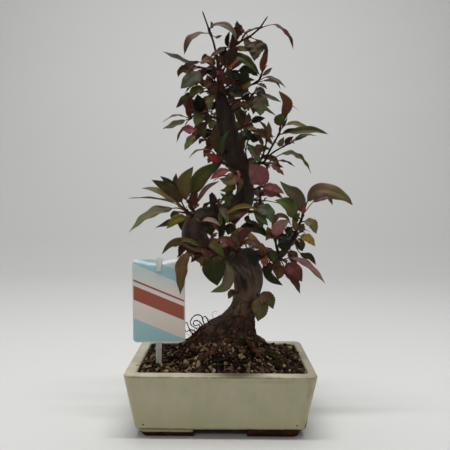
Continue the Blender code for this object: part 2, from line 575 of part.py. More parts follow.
def mesh_from(name, bm):
    """Ends the bmesh as a mesh in metres with its faces pointing out."""
    bmesh.ops.recalc_face_normals(bm, faces=bm.faces)
    bmesh.ops.scale(bm, vec=(MM, MM, MM), verts=bm.verts)
    mesh = bpy.data.meshes.new(name)
    bm.to_mesh(mesh)
    bm.free()
    return mesh


def evaluated_mesh(obj):
    graph = bpy.context.evaluated_depsgraph_get()
    return bpy.data.meshes.new_from_object(obj.evaluated_get(graph))


def settle(obj):
    """Turns the object's modifiers into its mesh."""
    mesh = evaluated_mesh(obj)
    obj.modifiers.clear()
    obj.data = mesh
    return obj


def fuse(base, pieces):
    """One Boolean union of the base with a collection of pieces, which are then removed."""
    group = new_collection(base.name + "_pieces")
    for piece in pieces:
        for holder in list(piece.users_collection):
            holder.objects.unlink(piece)
        group.objects.link(piece)
    union = base.modifiers.new("fuse", "BOOLEAN")
    union.operation = "UNION"
    union.operand_type = "COLLECTION"
    union.collection = group
    union.solver = "EXACT"
    union.use_self = True
    union.material_mode = "TRANSFER"
    settle(base)
    for piece in pieces:
        bpy.data.objects.remove(piece, do_unlink=True)
    bpy.data.collections.remove(group)
    return base


def cut(obj, cutter, operation="DIFFERENCE"):
    boolean = obj.modifiers.new(cutter.name, "BOOLEAN")
    boolean.operation = operation
    boolean.object = cutter
    boolean.solver = "MANIFOLD"
    return settle(obj)


def drop_scraps(obj):
    """Keeps only the largest piece, where the bark has cut a corner off."""
    bm = bmesh.new()
    bm.from_mesh(obj.data)
    left = set(bm.verts)
    pieces = []
    while left:
        piece = set()
        front = [left.pop()]
        while front:
            vertex = front.pop()
            piece.add(vertex)
            for edge in vertex.link_edges:
                other = edge.other_vert(vertex)
                if other in left:
                    left.remove(other)
                    front.append(other)
        pieces.append(piece)
    pieces.sort(key=len)
    scraps = [vertex for piece in pieces[:-1] for vertex in piece]
    bmesh.ops.delete(bm, geom=scraps, context="VERTS")
    bm.to_mesh(obj.data)
    bm.free()
    return obj


def make_cutter(obj):
    obj.hide_render = True
    obj.display_type = "WIRE"
    return obj


def seen(point):
    """The place of a point (x, z, y) of the front elevation, in millimetres."""
    x, z, y = point
    on_plane = Vector((x, 0, z))
    reach = (y - VIEW_POINT.y) / -VIEW_POINT.y
    return VIEW_POINT + (on_plane - VIEW_POINT) * reach


def smooth_path(points, shares):
    """Places and directions at the given shares of a smooth curve through the points."""
    points = np.array([tuple(p) for p in points])
    steps = np.linalg.norm(np.diff(points, axis=0), axis=1)
    knots = np.concatenate([[0], np.cumsum(steps)])
    slopes = np.gradient(points, knots, axis=0)
    where = np.asarray(shares) * knots[-1]
    first = np.clip(np.searchsorted(knots, where, side="right") - 1, 0, len(knots) - 2)
    span = (knots[first + 1] - knots[first])[:, None]
    t = (where[:, None] - knots[first][:, None]) / span
    places = (
        (2 * t**3 - 3 * t**2 + 1) * points[first]
        + (t**3 - 2 * t**2 + t) * span * slopes[first]
        + (3 * t**2 - 2 * t**3) * points[first + 1]
        + (t**3 - t**2) * span * slopes[first + 1]
    )
    ahead = (
        (6 * t**2 - 6 * t) * (points[first] - points[first + 1]) / span
        + (3 * t**2 - 4 * t + 1) * slopes[first]
        + (3 * t**2 - 2 * t) * slopes[first + 1]
    )
    return [Vector(p) for p in places], [Vector(d).normalized() for d in ahead]


def stem_mesh(points, girth, sides, name):
    """A tapering round stem along a smooth path, in millimetres."""
    count = len(points) + 1
    shares = np.linspace(0, 1, count)
    places, _ = smooth_path(points, shares)
    curve = bpy.data.curves.new(name, "CURVE")
    curve.dimensions = "3D"
    curve.bevel_depth = MM
    curve.bevel_resolution = (sides - 4) // 2
    curve.use_fill_caps = True
    spline = curve.splines.new("POLY")
    spline.points.add(count - 1)
    for point, place, share in zip(spline.points, places, shares):
        point.co = (*(place * MM), 1)
        point.radius = girth[0] + (girth[1] - girth[0]) * share
    guide = bpy.data.objects.new(name, curve)
    bpy.context.scene.collection.objects.link(guide)
    mesh = evaluated_mesh(guide)
    bpy.data.objects.remove(guide)
    bpy.data.curves.remove(curve)
    bm = bmesh.new()
    bm.from_mesh(mesh)
    bmesh.ops.remove_doubles(bm, verts=bm.verts, dist=1e-5)
    bmesh.ops.recalc_face_normals(bm, faces=bm.faces)
    bm.to_mesh(mesh)
    bm.free()
    return mesh


def loft(bm, rings):
    """Skins closed rings of equal count and caps both ends."""
    for low, high in zip(rings, rings[1:]):
        for i, corner in enumerate(low):
            j = (i + 1) % len(low)
            bm.faces.new((corner, low[j], high[j]))
            bm.faces.new((corner, high[j], high[i]))
    bm.faces.new(rings[0])
    bm.faces.new(rings[-1])


# Leaves


def blade_outline(share):
    """Half the width of an egg-shaped, pointed blade, as a share of its widest."""
    return 1.105 * share**0.45 * (1 - share) ** 0.75


def leaf_stations(wide, stalk, plain):
    """Shares along the midrib with their half-widths: the wider the blade, the more teeth it has."""
    if plain or wide < 5.5:
        teeth = [(0.3, 1), (0.7, 1.1)]
    elif wide < 12:
        teeth = [(0.2, 1), (0.48, 1.12), (0.64, 0.86)]
    else:
        teeth = [(0.16, 1), (0.4, 1.12), (0.5, 0.84), (0.76, 1.08)]
    stations = [(0, STALK_THICKNESS / 2), (stalk, STALK_THICKNESS / 2)]
    for share, tooth in teeth:
        stations.append((stalk + (1 - stalk) * share, wide * tooth * blade_outline(share)))
    return stations


def leaf_mesh(points, wide, upper, stalk, plain):
    """A stalk and blade in one loft of four-cornered rings, folded along the midrib."""
    stations = leaf_stations(wide, stalk, plain)
    places, ahead = smooth_path(points, [share for share, _ in stations] + [1])
    blade_way = (places[-1] - places[1]).normalized()
    bm = bmesh.new()
    rings = []
    for (share, half), place, along in zip(stations, places, ahead):
        on_blade = share > stalk
        if on_blade:
            along = (along * 0.4 + blade_way).normalized()
        normal = (upper - along * upper.dot(along)).normalized()
        across = along.cross(normal)
        rise = FOLD * half if on_blade else 0
        thick = (BLADE_THICKNESS * (1 - 0.4 * share) if on_blade else STALK_THICKNESS) / 2
        corners = [
            place + across * half + normal * rise,
            place + normal * thick,
            place - across * half + normal * rise,
            place - normal * thick,
        ]
        rings.append([bm.verts.new(corner) for corner in corners])
    tip = bm.verts.new(places[-1])
    bm.faces.new(rings[0])
    for low, high in zip(rings, rings[1:]):
        for edge, middle in ((0, 1), (2, 1), (2, 3), (0, 3)):
            bm.faces.new((low[edge], high[edge], high[middle]))
            bm.faces.new((low[edge], high[middle], low[middle]))
    for corner in range(4):
        bm.faces.new((rings[-1][corner], rings[-1][(corner + 1) % 4], tip))
    return mesh_from("leaf", bm)


def facing(degrees):
    angle = math.radians(degrees)
    return Vector((0, -math.sin(angle), math.cos(angle)))


def add_shoot(name, twig, girth, leaves, plain=False):
    """A leafy shoot in one piece: the twig with every leaf's root sunk to the twig's middle."""
    base = add_object(name, stem_mesh(twig, girth, TWIG_SIDES, name), "bark", TREE)
    blades = []
    for at, points, wide, upper, tone, stalk in leaves:
        root = smooth_path(twig, [at])[0][0]
        mesh = leaf_mesh([root] + points, wide, upper, stalk, plain)
        blades.append(add_object(name + "_leaf", mesh, tone, TREE))
    fuse(base, blades)
    return drop_scraps(cut(base, BARK_CUTTER))


def add_laid_out_shoot(name, shoot):
    leaves = []
    for at, points, wide, face, tone, *stalk in shoot["leaves"]:
        share = stalk[0] if stalk else STALK_SHARE
        leaves.append((at, [seen(p) for p in points], wide, facing(face), tone, share))
    return add_shoot(name, [seen(p) for p in shoot["twig"]], shoot["girth"], leaves)


def back_leaves(start, end, number, first_turn):
    """Leaves set round a far-side twig by the golden angle, each arching out and down."""
    along = (end - start).normalized()
    side = along.orthogonal().normalized()
    leaves = []
    for step in range(BACK_LEAVES):
        at = 0.5 + 0.48 * step / (BACK_LEAVES - 1)
        root = start.lerp(end, at)
        turn = math.radians(first_turn) + GOLDEN_ANGLE * step
        outward = Matrix.Rotation(turn, 3, along) @ side
        heading = (outward + along * 0.75).normalized()
        length = BACK_LEAF_LENGTH * (0.86 + 0.28 * ((step * 3 + number) % 5) / 4)
        points = [
            root + heading * length * 0.3 + Vector((0, 0, 2)),
            root + heading * length * 0.65 + Vector((0, 0, 1)),
            root + heading * length + Vector((0, 0, -7)),
        ]
        upper = (Vector((0, 0, 1)) + Vector((0, 0.5, 0)) - heading * 0.3).normalized()
        tone = BACK_TONES[(step + 3 * number) % len(BACK_TONES)]
        wide = BACK_LEAF_WIDTH * (0.85 + 0.3 * ((step + 2 * number) % 4) / 3)
        leaves.append((at, points, wide, upper, tone, STALK_SHARE))
    return leaves


def add_back_shoot(number, start, end, first_turn):
    start, end = seen(start), seen(end)
    middle = start.lerp(end, 0.5) + Vector((0, 0, 2))
    leaves = back_leaves(start, end, number, first_turn)
    return add_shoot(f"back_shoot_{number + 1:02d}", [start, middle, end], (1.6, 1.0), leaves, plain=True)


# Trunk


def trunk_ring(bm, ring, centre, along, gap):
    """One ring of the trunk: level at the root flare, square to the stem above it."""
    _, z, _, half_width, half_depth, lobe = ring
    level = Vector((0, 0, 1))
    square = min(1, max(0, (z - 150) / 25))
    normal = level.lerp(along, square).normalized()
    depth_way = Vector((0, 1, 0))
    across = depth_way.cross(normal).normalized()
    corners = []
    for i in range(TRUNK_SIDES):
        angle = 2 * math.pi * i / TRUNK_SIDES
        swell = 1 + lobe * math.cos(ROOT_LOBES * angle + 0.6) + 0.02 * math.cos(3 * angle + z / 9)
        offset = across * half_width * math.cos(angle) + depth_way * half_depth * math.sin(angle)
        offset *= swell
        corners.append(bm.verts.new(centre + offset + offset.normalized() * gap))
    return corners


def trunk_mesh(gap):
    centres = [seen(ring[:3]) for ring in TRUNK_RINGS]
    centres[0].z -= gap
    bm = bmesh.new()
    rings = []
    for i, ring in enumerate(TRUNK_RINGS):
        before = centres[max(i - 1, 0)]
        after = centres[min(i + 1, len(centres) - 1)]
        rings.append(trunk_ring(bm, ring, centres[i], (after - before).normalized(), gap))
    loft(bm, rings)
    return mesh_from("trunk", bm)


def longer(points, gap):
    """The path with both ends drawn out by the gap."""
    first = points[0] + (points[0] - points[1]).normalized() * gap
    last = points[-1] + (points[-1] - points[-2]).normalized() * gap
    return [first] + points[1:-1] + [last]


def add_trunk(name, gap, collection):
    """The trunk, its branches and its surface roots in one piece, grown all round by the gap."""
    trunk = add_object(name, trunk_mesh(gap), "bark", collection)
    limbs = [(LEADER, LEADER_GIRTH, 6)] + BRANCHES + ROOTS
    pieces = []
    for path, (first, last), sides in limbs:
        points = [seen(p) for p in path]
        if gap:
            points = longer(points, gap)
        mesh = stem_mesh(points, (first + gap, last + gap), sides, "limb")
        pieces.append(add_object("limb", mesh, "bark", collection))
    return fuse(trunk, pieces)


# Pot


def rounded_ring(bm, half_x, half_y, radius, z):
    """A level rectangle with round corners."""
    corners = []
    steps = 3
    for quarter, (sx, sy) in enumerate(((1, 1), (-1, 1), (-1, -1), (1, -1))):
        for step in range(steps + 1):
            angle = math.pi / 2 * (quarter + step / steps)
            x = sx * (half_x - radius) + radius * math.cos(angle)
            y = sy * (half_y - radius) + radius * math.sin(angle)
            corners.append(bm.verts.new((x, y, z)))
    return corners


def ring_stack(name, levels):
    """A solid through rounded rectangles, each set in from the pot's rim by its inset."""
    bm = bmesh.new()
    rings = []
    for z, inset, radius in levels:
        half_x = POT_WIDTH / 2 - inset
        half_y = POT_DEPTH / 2 - inset
        rings.append(rounded_ring(bm, half_x, half_y, radius, z))
    loft(bm, rings)
    return mesh_from(name, bm)


def cavity_levels(gap, top):
    """The room inside the pot, narrowed by a gap."""
    wall = RIM_WIDTH + 1.5
    return [
        (FLOOR_TOP + gap, wall + 7 + gap, 6),
        (FLOOR_TOP + 3 + gap, wall + 4.5 + gap, 8),
        (POT_HEIGHT - 8, wall + gap, CORNER_RADIUS - 2),
        (top, RIM_WIDTH + gap, CORNER_RADIUS - 2),
    ]


def box_mesh(name, low, high):
    bm = bmesh.new()
    bmesh.ops.create_cube(bm, size=1)
    size = Vector(high) - Vector(low)
    centre = (Vector(high) + Vector(low)) / 2
    bmesh.ops.scale(bm, vec=size, verts=bm.verts)
    bmesh.ops.translate(bm, vec=centre, verts=bm.verts)
    return mesh_from(name, bm)


def box_cutter(name, low, high):
    return make_cutter(add_object(name, box_mesh(name, low, high), None, CUTTERS))


def round_cutter(name, x, y, radius, low, high, sides):
    bm = bmesh.new()
    bmesh.ops.create_cone(
        bm, cap_ends=True, segments=sides, radius1=radius, radius2=radius, depth=high - low
    )
    bmesh.ops.translate(bm, vec=(x, y, (low + high) / 2), verts=bm.verts)
    return make_cutter(add_object(name, mesh_from(name, bm), None, CUTTERS))


def add_pot():
    """The outer body, hollowed, with L-shaped corner feet and holes through the floor."""
    rim_top = POT_HEIGHT
    outside = [
        (BODY_BOTTOM, WALL_TAPER + 4, CORNER_RADIUS - 2),
        (BODY_BOTTOM + 1.2, WALL_TAPER + 1.2, CORNER_RADIUS),
        (BODY_BOTTOM + 4, WALL_TAPER, CORNER_RADIUS),
        (rim_top - 6, 1.2, CORNER_RADIUS),
        (rim_top - 5, 0.2, CORNER_RADIUS),
        (rim_top - 2.6, 0, CORNER_RADIUS),
        (rim_top - 0.8, 0.9, CORNER_RADIUS),
        (rim_top, 3, CORNER_RADIUS - 1),
    ]
    pot = add_object("pot", ring_stack("pot", outside), "glaze", POTTERY)
    foot_levels = [(0, FOOT_INSET + FOOT_TAPER, 5), (BODY_BOTTOM + 1, FOOT_INSET, 5)]
    feet = add_object("feet", ring_stack("feet", foot_levels), "glaze", POTTERY)
    room = FOOT_INSET + FOOT_THICKNESS
    between_levels = [(-1, room, 3), (BODY_BOTTOM + 2, room, 3)]
    between = make_cutter(add_object("between_feet", ring_stack("between_feet", between_levels), None, CUTTERS))
    cut(feet, between)
    for low, high in (
        ((-FOOT_GAP_FRONT / 2, -POT_DEPTH, -1), (FOOT_GAP_FRONT / 2, POT_DEPTH, BODY_BOTTOM + 2)),
        ((-POT_WIDTH, -FOOT_GAP_SIDE / 2, -1), (POT_WIDTH, FOOT_GAP_SIDE / 2, BODY_BOTTOM + 2)),
    ):
        cut(feet, box_cutter("foot_gap", low, high))
    fuse(pot, [feet])
    cut(pot, make_cutter(add_object("room", ring_stack("room", cavity_levels(0, rim_top + 2)), None, CUTTERS)))
    for side in (-1, 1):
        hole = round_cutter("drain", side * DRAIN_OFFSET, 0, DRAIN_RADIUS, BODY_BOTTOM - 2, FLOOR_TOP + 2, 12)
        cut(pot, hole)
        for wire in (-1, 1):
            x = side * (DRAIN_OFFSET + wire * 2.6 * DRAIN_RADIUS)
            cut(pot, round_cutter("wire_hole", x, 0, WIRE_HOLE_RADIUS, BODY_BOTTOM - 2, FLOOR_TOP + 2, 6))
    return pot


def add_screen(number, side):
    """A square plastic mesh that lies over a drain hole."""
    low_z = FLOOR_TOP + TOUCH
    half = SCREEN_SIDE / 2
    centre = side * DRAIN_OFFSET
    name = f"drain_screen_{number}"
    low = (centre - half, -half, low_z)
    high = (centre + half, half, low_z + SCREEN_THICKNESS)
    screen = add_object(name, box_mesh(name, low, high), "screen_plastic", POTTERY)
    for column in (-0.5, 0.5):
        for row in (-0.5, 0.5):
            x = centre + column * SCREEN_PITCH
            y = row * SCREEN_PITCH
            reach = SCREEN_HOLE / 2
            hole_low = (x - reach, y - reach, low_z - 1)
            hole_high = (x + reach, y + reach, low_z + SCREEN_THICKNESS + 1)
            cut(screen, box_cutter("screen_hole", hole_low, hole_high))
    return screen


# Soil


def soil_height(x, y):
    """The ground's level: flat by the rim, mounded round the trunk, with crumbs all over."""
    across = (x - MOUND_CENTRE[0]) / MOUND_REACH[0]
    deep = (y - MOUND_CENTRE[1]) / MOUND_REACH[1]
    mound = MOUND_HEIGHT * math.exp(-math.hypot(across, deep) ** 3)
    crumbs = noise.noise(Vector((x * 0.23, y * 0.23, 3))) + 0.6 * noise.noise(Vector((x * 0.5, y * 0.5, 8)))
    return SOIL_LEVEL + mound + CRUMB_HEIGHT * crumbs


def add_soil():
    columns = round(POT_WIDTH / SOIL_CELL)
    rows = round(POT_DEPTH / SOIL_CELL)
    bm = bmesh.new()
    bmesh.ops.create_grid(bm, x_segments=columns, y_segments=rows, size=0.5)
    for vertex in bm.verts:
        x = vertex.co.x * POT_WIDTH
        y = vertex.co.y * POT_DEPTH
        vertex.co = (x, y, soil_height(x, y))
    bmesh.ops.triangulate(bm, faces=bm.faces)
    rim = [edge for edge in bm.edges if edge.is_boundary]
    grown = bmesh.ops.extrude_edge_only(bm, edges=rim)
    for item in grown["geom"]:
        if isinstance(item, bmesh.types.BMVert):
            item.co.z = 0
    bottom = [edge for edge in bm.edges if edge.is_boundary]
    bmesh.ops.holes_fill(bm, edges=bottom, sides=0)
    soil = add_object("soil", mesh_from("soil", bm), "soil", POTTERY)
    room = ring_stack("soil_room", cavity_levels(TOUCH, POT_HEIGHT + 60))
    cut(soil, make_cutter(add_object("soil_room", room, None, CUTTERS)), "INTERSECT")
    cut(soil, BARK_CUTTER)
    x, y = CARD_CENTRE[0], CARD_CENTRE[1]
    stake_y = y + CARD_THICKNESS / 2 + TOUCH
    reach = STAKE_WIDTH / 2 + TOUCH
    low = (x - reach, stake_y - TOUCH, STAKE_BOTTOM - TOUCH)
    high = (x + reach, stake_y + STAKE_THICKNESS + TOUCH, POT_HEIGHT + 30)
    cut(soil, box_cutter("stake_slot", low, high))
    for side in (-1, 1):
        half = SCREEN_SIDE / 2 + TOUCH
        low = (side * DRAIN_OFFSET - half, -half, FLOOR_TOP - 1)
        high = (side * DRAIN_OFFSET + half, half, FLOOR_TOP + SCREEN_THICKNESS + 2 * TOUCH)
        cut(soil, box_cutter("screen_room", low, high))
    return soil


# Label


def flat_outline_mesh(name, outline, thickness):
    """A flat outline given in X and Y, made a plate of that thickness round Z."""
    curve = bpy.data.curves.new(name, "CURVE")
    curve.dimensions = "2D"
    curve.fill_mode = "BOTH"
    curve.extrude = thickness / 2 * MM
    spline = curve.splines.new("POLY")
    spline.points.add(len(outline) - 1)
    for point, (x, y) in zip(spline.points, outline):
        point.co = (x * MM, y * MM, 0, 1)
    spline.use_cyclic_u = True
    guide = bpy.data.objects.new(name, curve)
    bpy.context.scene.collection.objects.link(guide)
    mesh = evaluated_mesh(guide)
    bpy.data.objects.remove(guide)
    bpy.data.curves.remove(curve)
    bm = bmesh.new()
    bm.from_mesh(mesh)
    bmesh.ops.remove_doubles(bm, verts=bm.verts, dist=1e-5)
    bmesh.ops.recalc_face_normals(bm, faces=bm.faces)
    bm.to_mesh(mesh)
    bm.free()
    return mesh


def add_label_card():
    half_x, half_z = CARD_WIDTH / 2, CARD_HEIGHT / 2
    outline = []
    steps = 5
    for quarter, (sx, sz) in enumerate(((1, 1), (-1, 1), (-1, -1), (1, -1))):
        for step in range(steps + 1):
            angle = math.pi / 2 * (quarter + step / steps)
            x = sx * (half_x - CARD_CORNER) + CARD_CORNER * math.cos(angle)
            z = sz * (half_z - CARD_CORNER) + CARD_CORNER * math.sin(angle)
            outline.append((x, z))
    mesh = flat_outline_mesh("label_card", outline, CARD_THICKNESS)
    place = Matrix.Translation(Vector(CARD_CENTRE) * MM)
    stand = Matrix.Rotation(math.pi / 2, 4, "X")
    lean = Matrix.Rotation(CARD_LEAN, 4, "Z")
    mesh.transform(place @ stand @ lean)
    return add_object("label_card", mesh, "card", LABEL)


def add_label_stake():
    """A strip behind the card that hooks over the card's top edge."""
    x, y, z = CARD_CENTRE
    card_top = z + CARD_HEIGHT / 2 + 0.6
    gap = CARD_THICKNESS / 2 + TOUCH
    far = gap + STAKE_THICKNESS
    bridge = card_top + STAKE_THICKNESS
    outline = [
        (gap, STAKE_BOTTOM),
        (far, STAKE_BOTTOM),
        (far, bridge),
        (-far, bridge),
        (-far, bridge - STAKE_CLIP),
        (-gap, bridge - STAKE_CLIP),
        (-gap, card_top),
        (gap, card_top),
    ]
    mesh = flat_outline_mesh("label_stake", outline, STAKE_WIDTH)
    to_side = Matrix(((0, 0, 1), (1, 0, 0), (0, 1, 0))).to_4x4()
    mesh.transform(Matrix.Translation(Vector((x, y, 0)) * MM) @ to_side)
    return add_object("label_stake", mesh, "clear_plastic", LABEL)


# Whole object


def stand_on_origin(parts):
    """Sets the middle of the whole object's footprint on the origin."""
    graph = bpy.context.evaluated_depsgraph_get()
    corners = []
    for part in parts:
        for vertex in part.evaluated_get(graph).data.vertices:
            corners.append(vertex.co)
    low = Vector([min(c[axis] for c in corners) for axis in range(3)])
    high = Vector([max(c[axis] for c in corners) for axis in range(3)])
    stand = bpy.data.objects.new("crabapple_bonsai", None)
    TREE.objects.link(stand)
    for part in parts:
        part.parent = stand
    stand.location = (-(low.x + high.x) / 2, -(low.y + high.y) / 2, -low.z)


clear_scene()
MATERIALS = {name: make_material(name) for name in COLOURS}
BONSAI = new_collection("Crabapple bonsai")
TREE = bpy.data.collections.new("Tree")
POTTERY = bpy.data.collections.new("Pot and soil")
LABEL = bpy.data.collections.new("Label")
for group in (TREE, POTTERY, LABEL):
    BONSAI.children.link(group)
CUTTERS = new_collection("Cutters")
CUTTERS.hide_render = True

PARTS = [add_trunk("trunk", 0, TREE)]
BARK_CUTTER = make_cutter(add_trunk("bark_gap", BARK_GAP, CUTTERS))
PARTS += [add_pot(), add_soil(), add_screen(1, -1), add_screen(2, 1)]
PARTS += [add_label_card(), add_label_stake()]
PARTS += [add_laid_out_shoot(name, shoot) for name, shoot in SHOOTS.items()]
PARTS += [add_back_shoot(number, *layout) for number, layout in enumerate(BACK_SHOOTS)]
for part in PARTS:
    part.data.shade_smooth()
    part.data.set_sharp_from_angle(angle=math.radians(35))
stand_on_origin(PARTS)
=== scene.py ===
"""The looks of a crabapple bonsai in its glazed pot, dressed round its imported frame.

Layout figures are millimetres in the pot's frame: X to the right, Y away from the front, Z up, with
zero on the ground under the middle of the pot. MM turns them into metres, and PLACE carries a finished
mesh to where the frame has the pot.
"""

import json
import math

import bmesh
import bpy
import numpy as np
from mathutils import Matrix, Vector, noise
from mathutils.bvhtree import BVHTree
from mathutils.kdtree import KDTree

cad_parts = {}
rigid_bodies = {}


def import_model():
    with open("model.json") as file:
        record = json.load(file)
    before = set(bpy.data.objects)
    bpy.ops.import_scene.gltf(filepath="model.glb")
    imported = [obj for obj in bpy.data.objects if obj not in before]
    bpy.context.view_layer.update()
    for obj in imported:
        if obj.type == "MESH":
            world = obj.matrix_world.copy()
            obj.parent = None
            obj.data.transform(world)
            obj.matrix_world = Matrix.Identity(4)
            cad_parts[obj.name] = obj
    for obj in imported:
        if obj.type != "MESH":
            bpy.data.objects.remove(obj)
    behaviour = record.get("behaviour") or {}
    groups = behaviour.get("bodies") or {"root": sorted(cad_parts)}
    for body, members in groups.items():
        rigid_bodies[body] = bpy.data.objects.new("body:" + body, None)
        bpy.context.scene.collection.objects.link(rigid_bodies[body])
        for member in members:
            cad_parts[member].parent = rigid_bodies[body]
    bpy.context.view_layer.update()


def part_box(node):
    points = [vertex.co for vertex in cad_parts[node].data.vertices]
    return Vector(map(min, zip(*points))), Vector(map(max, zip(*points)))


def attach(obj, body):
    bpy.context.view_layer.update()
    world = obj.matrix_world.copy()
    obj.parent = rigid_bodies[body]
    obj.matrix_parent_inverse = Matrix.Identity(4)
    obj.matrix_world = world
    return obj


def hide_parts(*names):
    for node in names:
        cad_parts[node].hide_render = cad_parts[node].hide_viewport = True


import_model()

MM = 0.001
POT_LOW, POT_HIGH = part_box("pot")
POT_MIDDLE = Vector(((POT_LOW.x + POT_HIGH.x) / 2, (POT_LOW.y + POT_HIGH.y) / 2, 0))
PLACE = Matrix.Translation(POT_MIDDLE) @ Matrix.Scale(MM, 4)
RNG = np.random.default_rng(41)

# Pot
POT_WIDTH = 206.5
POT_DEPTH = 155
POT_HEIGHT = 70
RIM_WIDTH = 12.5
ROOM_SHIFT = 1.8
WALL_TAPER = 9.5
BODY_BOTTOM = 8
FLOOR_TOP = 14
CORNER_RADIUS = 9
FOOT_INSET = 15.2
FOOT_TAPER = 4.5
FOOT_FORWARD = 5.3
FOOT_THICKNESS = 15
FOOT_GAP_FRONT = 58
FOOT_GAP_SIDE = 46
DRAIN_RADIUS = 8
DRAIN_OFFSET = 45
WIRE_HOLE_RADIUS = 2
CORNER_STEPS = 10
PIT_OFFSET = 82.2
PIT_HEIGHT = 14.4

# Soil
SOIL_LEVEL = 65.5
MOUND_HEIGHT = 34
MOUND_CENTRE = (5, 0)
MOUND_REACH = (57, 46)
CRUMB_HEIGHT = 1.5
SOIL_STEP = 1.5

# Drainage screens
SCREEN_SIDE = 27
SCREEN_THICKNESS = 1.2
SCREEN_WIRE = 0.4
SCREEN_WEAVE = 0.2
SCREEN_CELLS = 10

# Label
CARD_WIDTH = 59
CARD_HEIGHT = 94
CARD_THICKNESS = 1
CARD_CORNER = 4.6
CARD_CENTRE = (-70.2, -30, 141)
CARD_LEAN = math.radians(0.8)
CARD_CURL_FROM = 33
CARD_CURL_RADIUS = 27
CARD_CURL_WAVE = 2.2
STAKE_WIDTH = 6.5
STAKE_THICKNESS = 1.2
STAKE_BOTTOM = 47
STAKE_CLIP = 14
TOUCH = 0.3

# The label's design: each band's height at the card's left edge, half its width and its colour
TEAL = (0.355, 0.59, 0.62)
TERRACOTTA = (0.37, 0.08, 0.042)
HATCHED_BAND = 57
CARD_BANDS = [
    (26, 2, TEAL),
    (13, 13, TEAL),
    (HATCHED_BAND, 8, TERRACOTTA),
    (71, 1.1, TERRACOTTA),
    (96, 6.5, TEAL),
]
CARD_SLANT = 0.42

# Leaves and twigs
STALK_SHARE = 0.22
BLADE_COLUMNS = np.array([-1, -0.84, -0.52, -0.17, 0, 0.17, 0.52, 0.84, 1])
TOOTH_PITCH = 2.2
TOOTH_DEPTH = 0.13
VEIN_PITCH = 4.6
INNER_BREADTH = 1.12

# The point in front of the pot from which the tree's widths and heights were read
VIEW_POINT = np.array([3.5, -677.5, 257])

# Camera: pitch and roll in degrees, lens and film in millimetres
CAMERA_PITCH = 2.66
CAMERA_ROLL = 0.45
CAMERA_LENS = 46.4
CAMERA_FILM = 36

LEAF_TONES = {
    "olive": (0.088, 0.08, 0.024),
    "green": (0.046, 0.06, 0.017),
    "sage": (0.104, 0.106, 0.056),
    "shade": (0.012, 0.013, 0.005),
    "moss": (0.026, 0.036, 0.005),
    "pale": (0.19, 0.175, 0.115),
    "bronze": (0.078, 0.056, 0.024),
    "gold": (0.135, 0.098, 0.018),
    "copper": (0.165, 0.064, 0.026),
    "brown": (0.086, 0.045, 0.023),
    "maroon": (0.074, 0.025, 0.018),
    "plum": (0.018, 0.008, 0.009),
    "crimson": (0.165, 0.028, 0.024),
    "rose": (0.185, 0.06, 0.056),
    "mauve": (0.125, 0.072, 0.056),
}

# Trunk rings: x, z, y, half-width across, half-depth, depth of the root lobes
TRUNK_RINGS = [
    (2, 46, 0, 40, 33, 0.05),
    (3, 62, 0, 48, 39, 0.08),
    (3, 76, 0, 48, 38, 0.13),
    (3.5, 86, 0, 43, 34, 0.15),
    (3.5, 95, 0, 37, 29, 0.12),
    (6.5, 104, 0, 31, 25, 0.11),
    (11.8, 112, 0, 25, 22, 0.10),
    (19.5, 120, 0, 18.5, 19, 0.08),
    (24.5, 130, 0, 14.8, 16.5, 0.05),
    (29.5, 141, 0, 15, 15, 0.03),
    (32, 152, 0, 16.5, 15, 0.03),
    (31, 163, 0, 18, 16, 0.02),
    (26, 175, -1, 18, 16.5, 0.02),
    (16, 184, -2, 16.5, 16, 0.02),
    (4, 189, -2, 15.5, 15.5, 0.02),
    (-9, 191.5, -2, 15.2, 15.5, 0.02),
    (-22, 196.5, -4, 15.2, 15.5, 0.02),
    (-30.5, 206, -5, 15.5, 15.5, 0.02),
    (-32.5, 216, -5, 15.3, 15, 0.02),
    (-29, 226.5, -4, 14, 14, 0.02),
    (-21, 234, -3, 12.5, 13, 0.02),
    (-10, 237, -1, 11.7, 12, 0.02),
    (3, 239.5, 2, 11.8, 12, 0.03),
    (15, 244.5, 4, 12.5, 12.5, 0.03),
    (24, 253, 5, 12.5, 12.5, 0.03),
    (27, 263, 4, 10.8, 11.5, 0.02),
    (26, 274, 4, 10, 11, 0.02),
    (23.5, 285, 3, 10.3, 11, 0.02),
    (18.5, 297, 2, 11.8, 12, 0.03),
    (12.5, 311, 1, 12.8, 12.5, 0.03),
    (8, 327, 0, 12.2, 12, 0.02),
    (4, 342, 0, 12, 11.5, 0.02),
    (2, 356, 0, 10.4, 10, 0.02),
    (-1.5, 369, 0, 8.3, 8, 0),
    (-3.5, 381, 0, 5.8, 5.8, 0),
]
ROOT_LOBES = 5

# The leader, a cut stub, the main branches and the surface roots: each a path and its first and last radius
LIMBS = [
    ([(-3, 374, 0), (-4, 388, 0), (-5, 400, 0), (-6, 412, 0), (-8, 424, 0)], (4.8, 1.9)),
    ([(-9.5, 238, -5), (-11, 248, -10), (-12, 256, -13), (-12.5, 262, -14)], (4.6, 3)),
    ([(14, 296, 2), (27, 293.5, 0), (38, 296.5, -3), (50, 299, -5)], (4.2, 2)),
    ([(28, 176, 0), (40, 189, -1), (52, 192.5, -3), (68, 190.5, -5), (79, 203, -6),
        (90, 227, -8)], (8, 1.9)),
    ([(8, 106, -6), (-16, 92, -10), (-40, 78, -13), (-58, 66, -15)], (3.6, 1.8)),
    ([(14, 108, -8), (4, 92, -24), (-10, 78, -34), (-26, 64, -42)], (3.6, 1.8)),
    ([(22, 102, -10), (32, 88, -24), (40, 76, -32), (50, 64, -38)], (3.15, 1.8)),
    ([(24, 110, 8), (30, 92, 24), (38, 76, 34), (46, 64, 40)], (3.6, 1.8)),
]

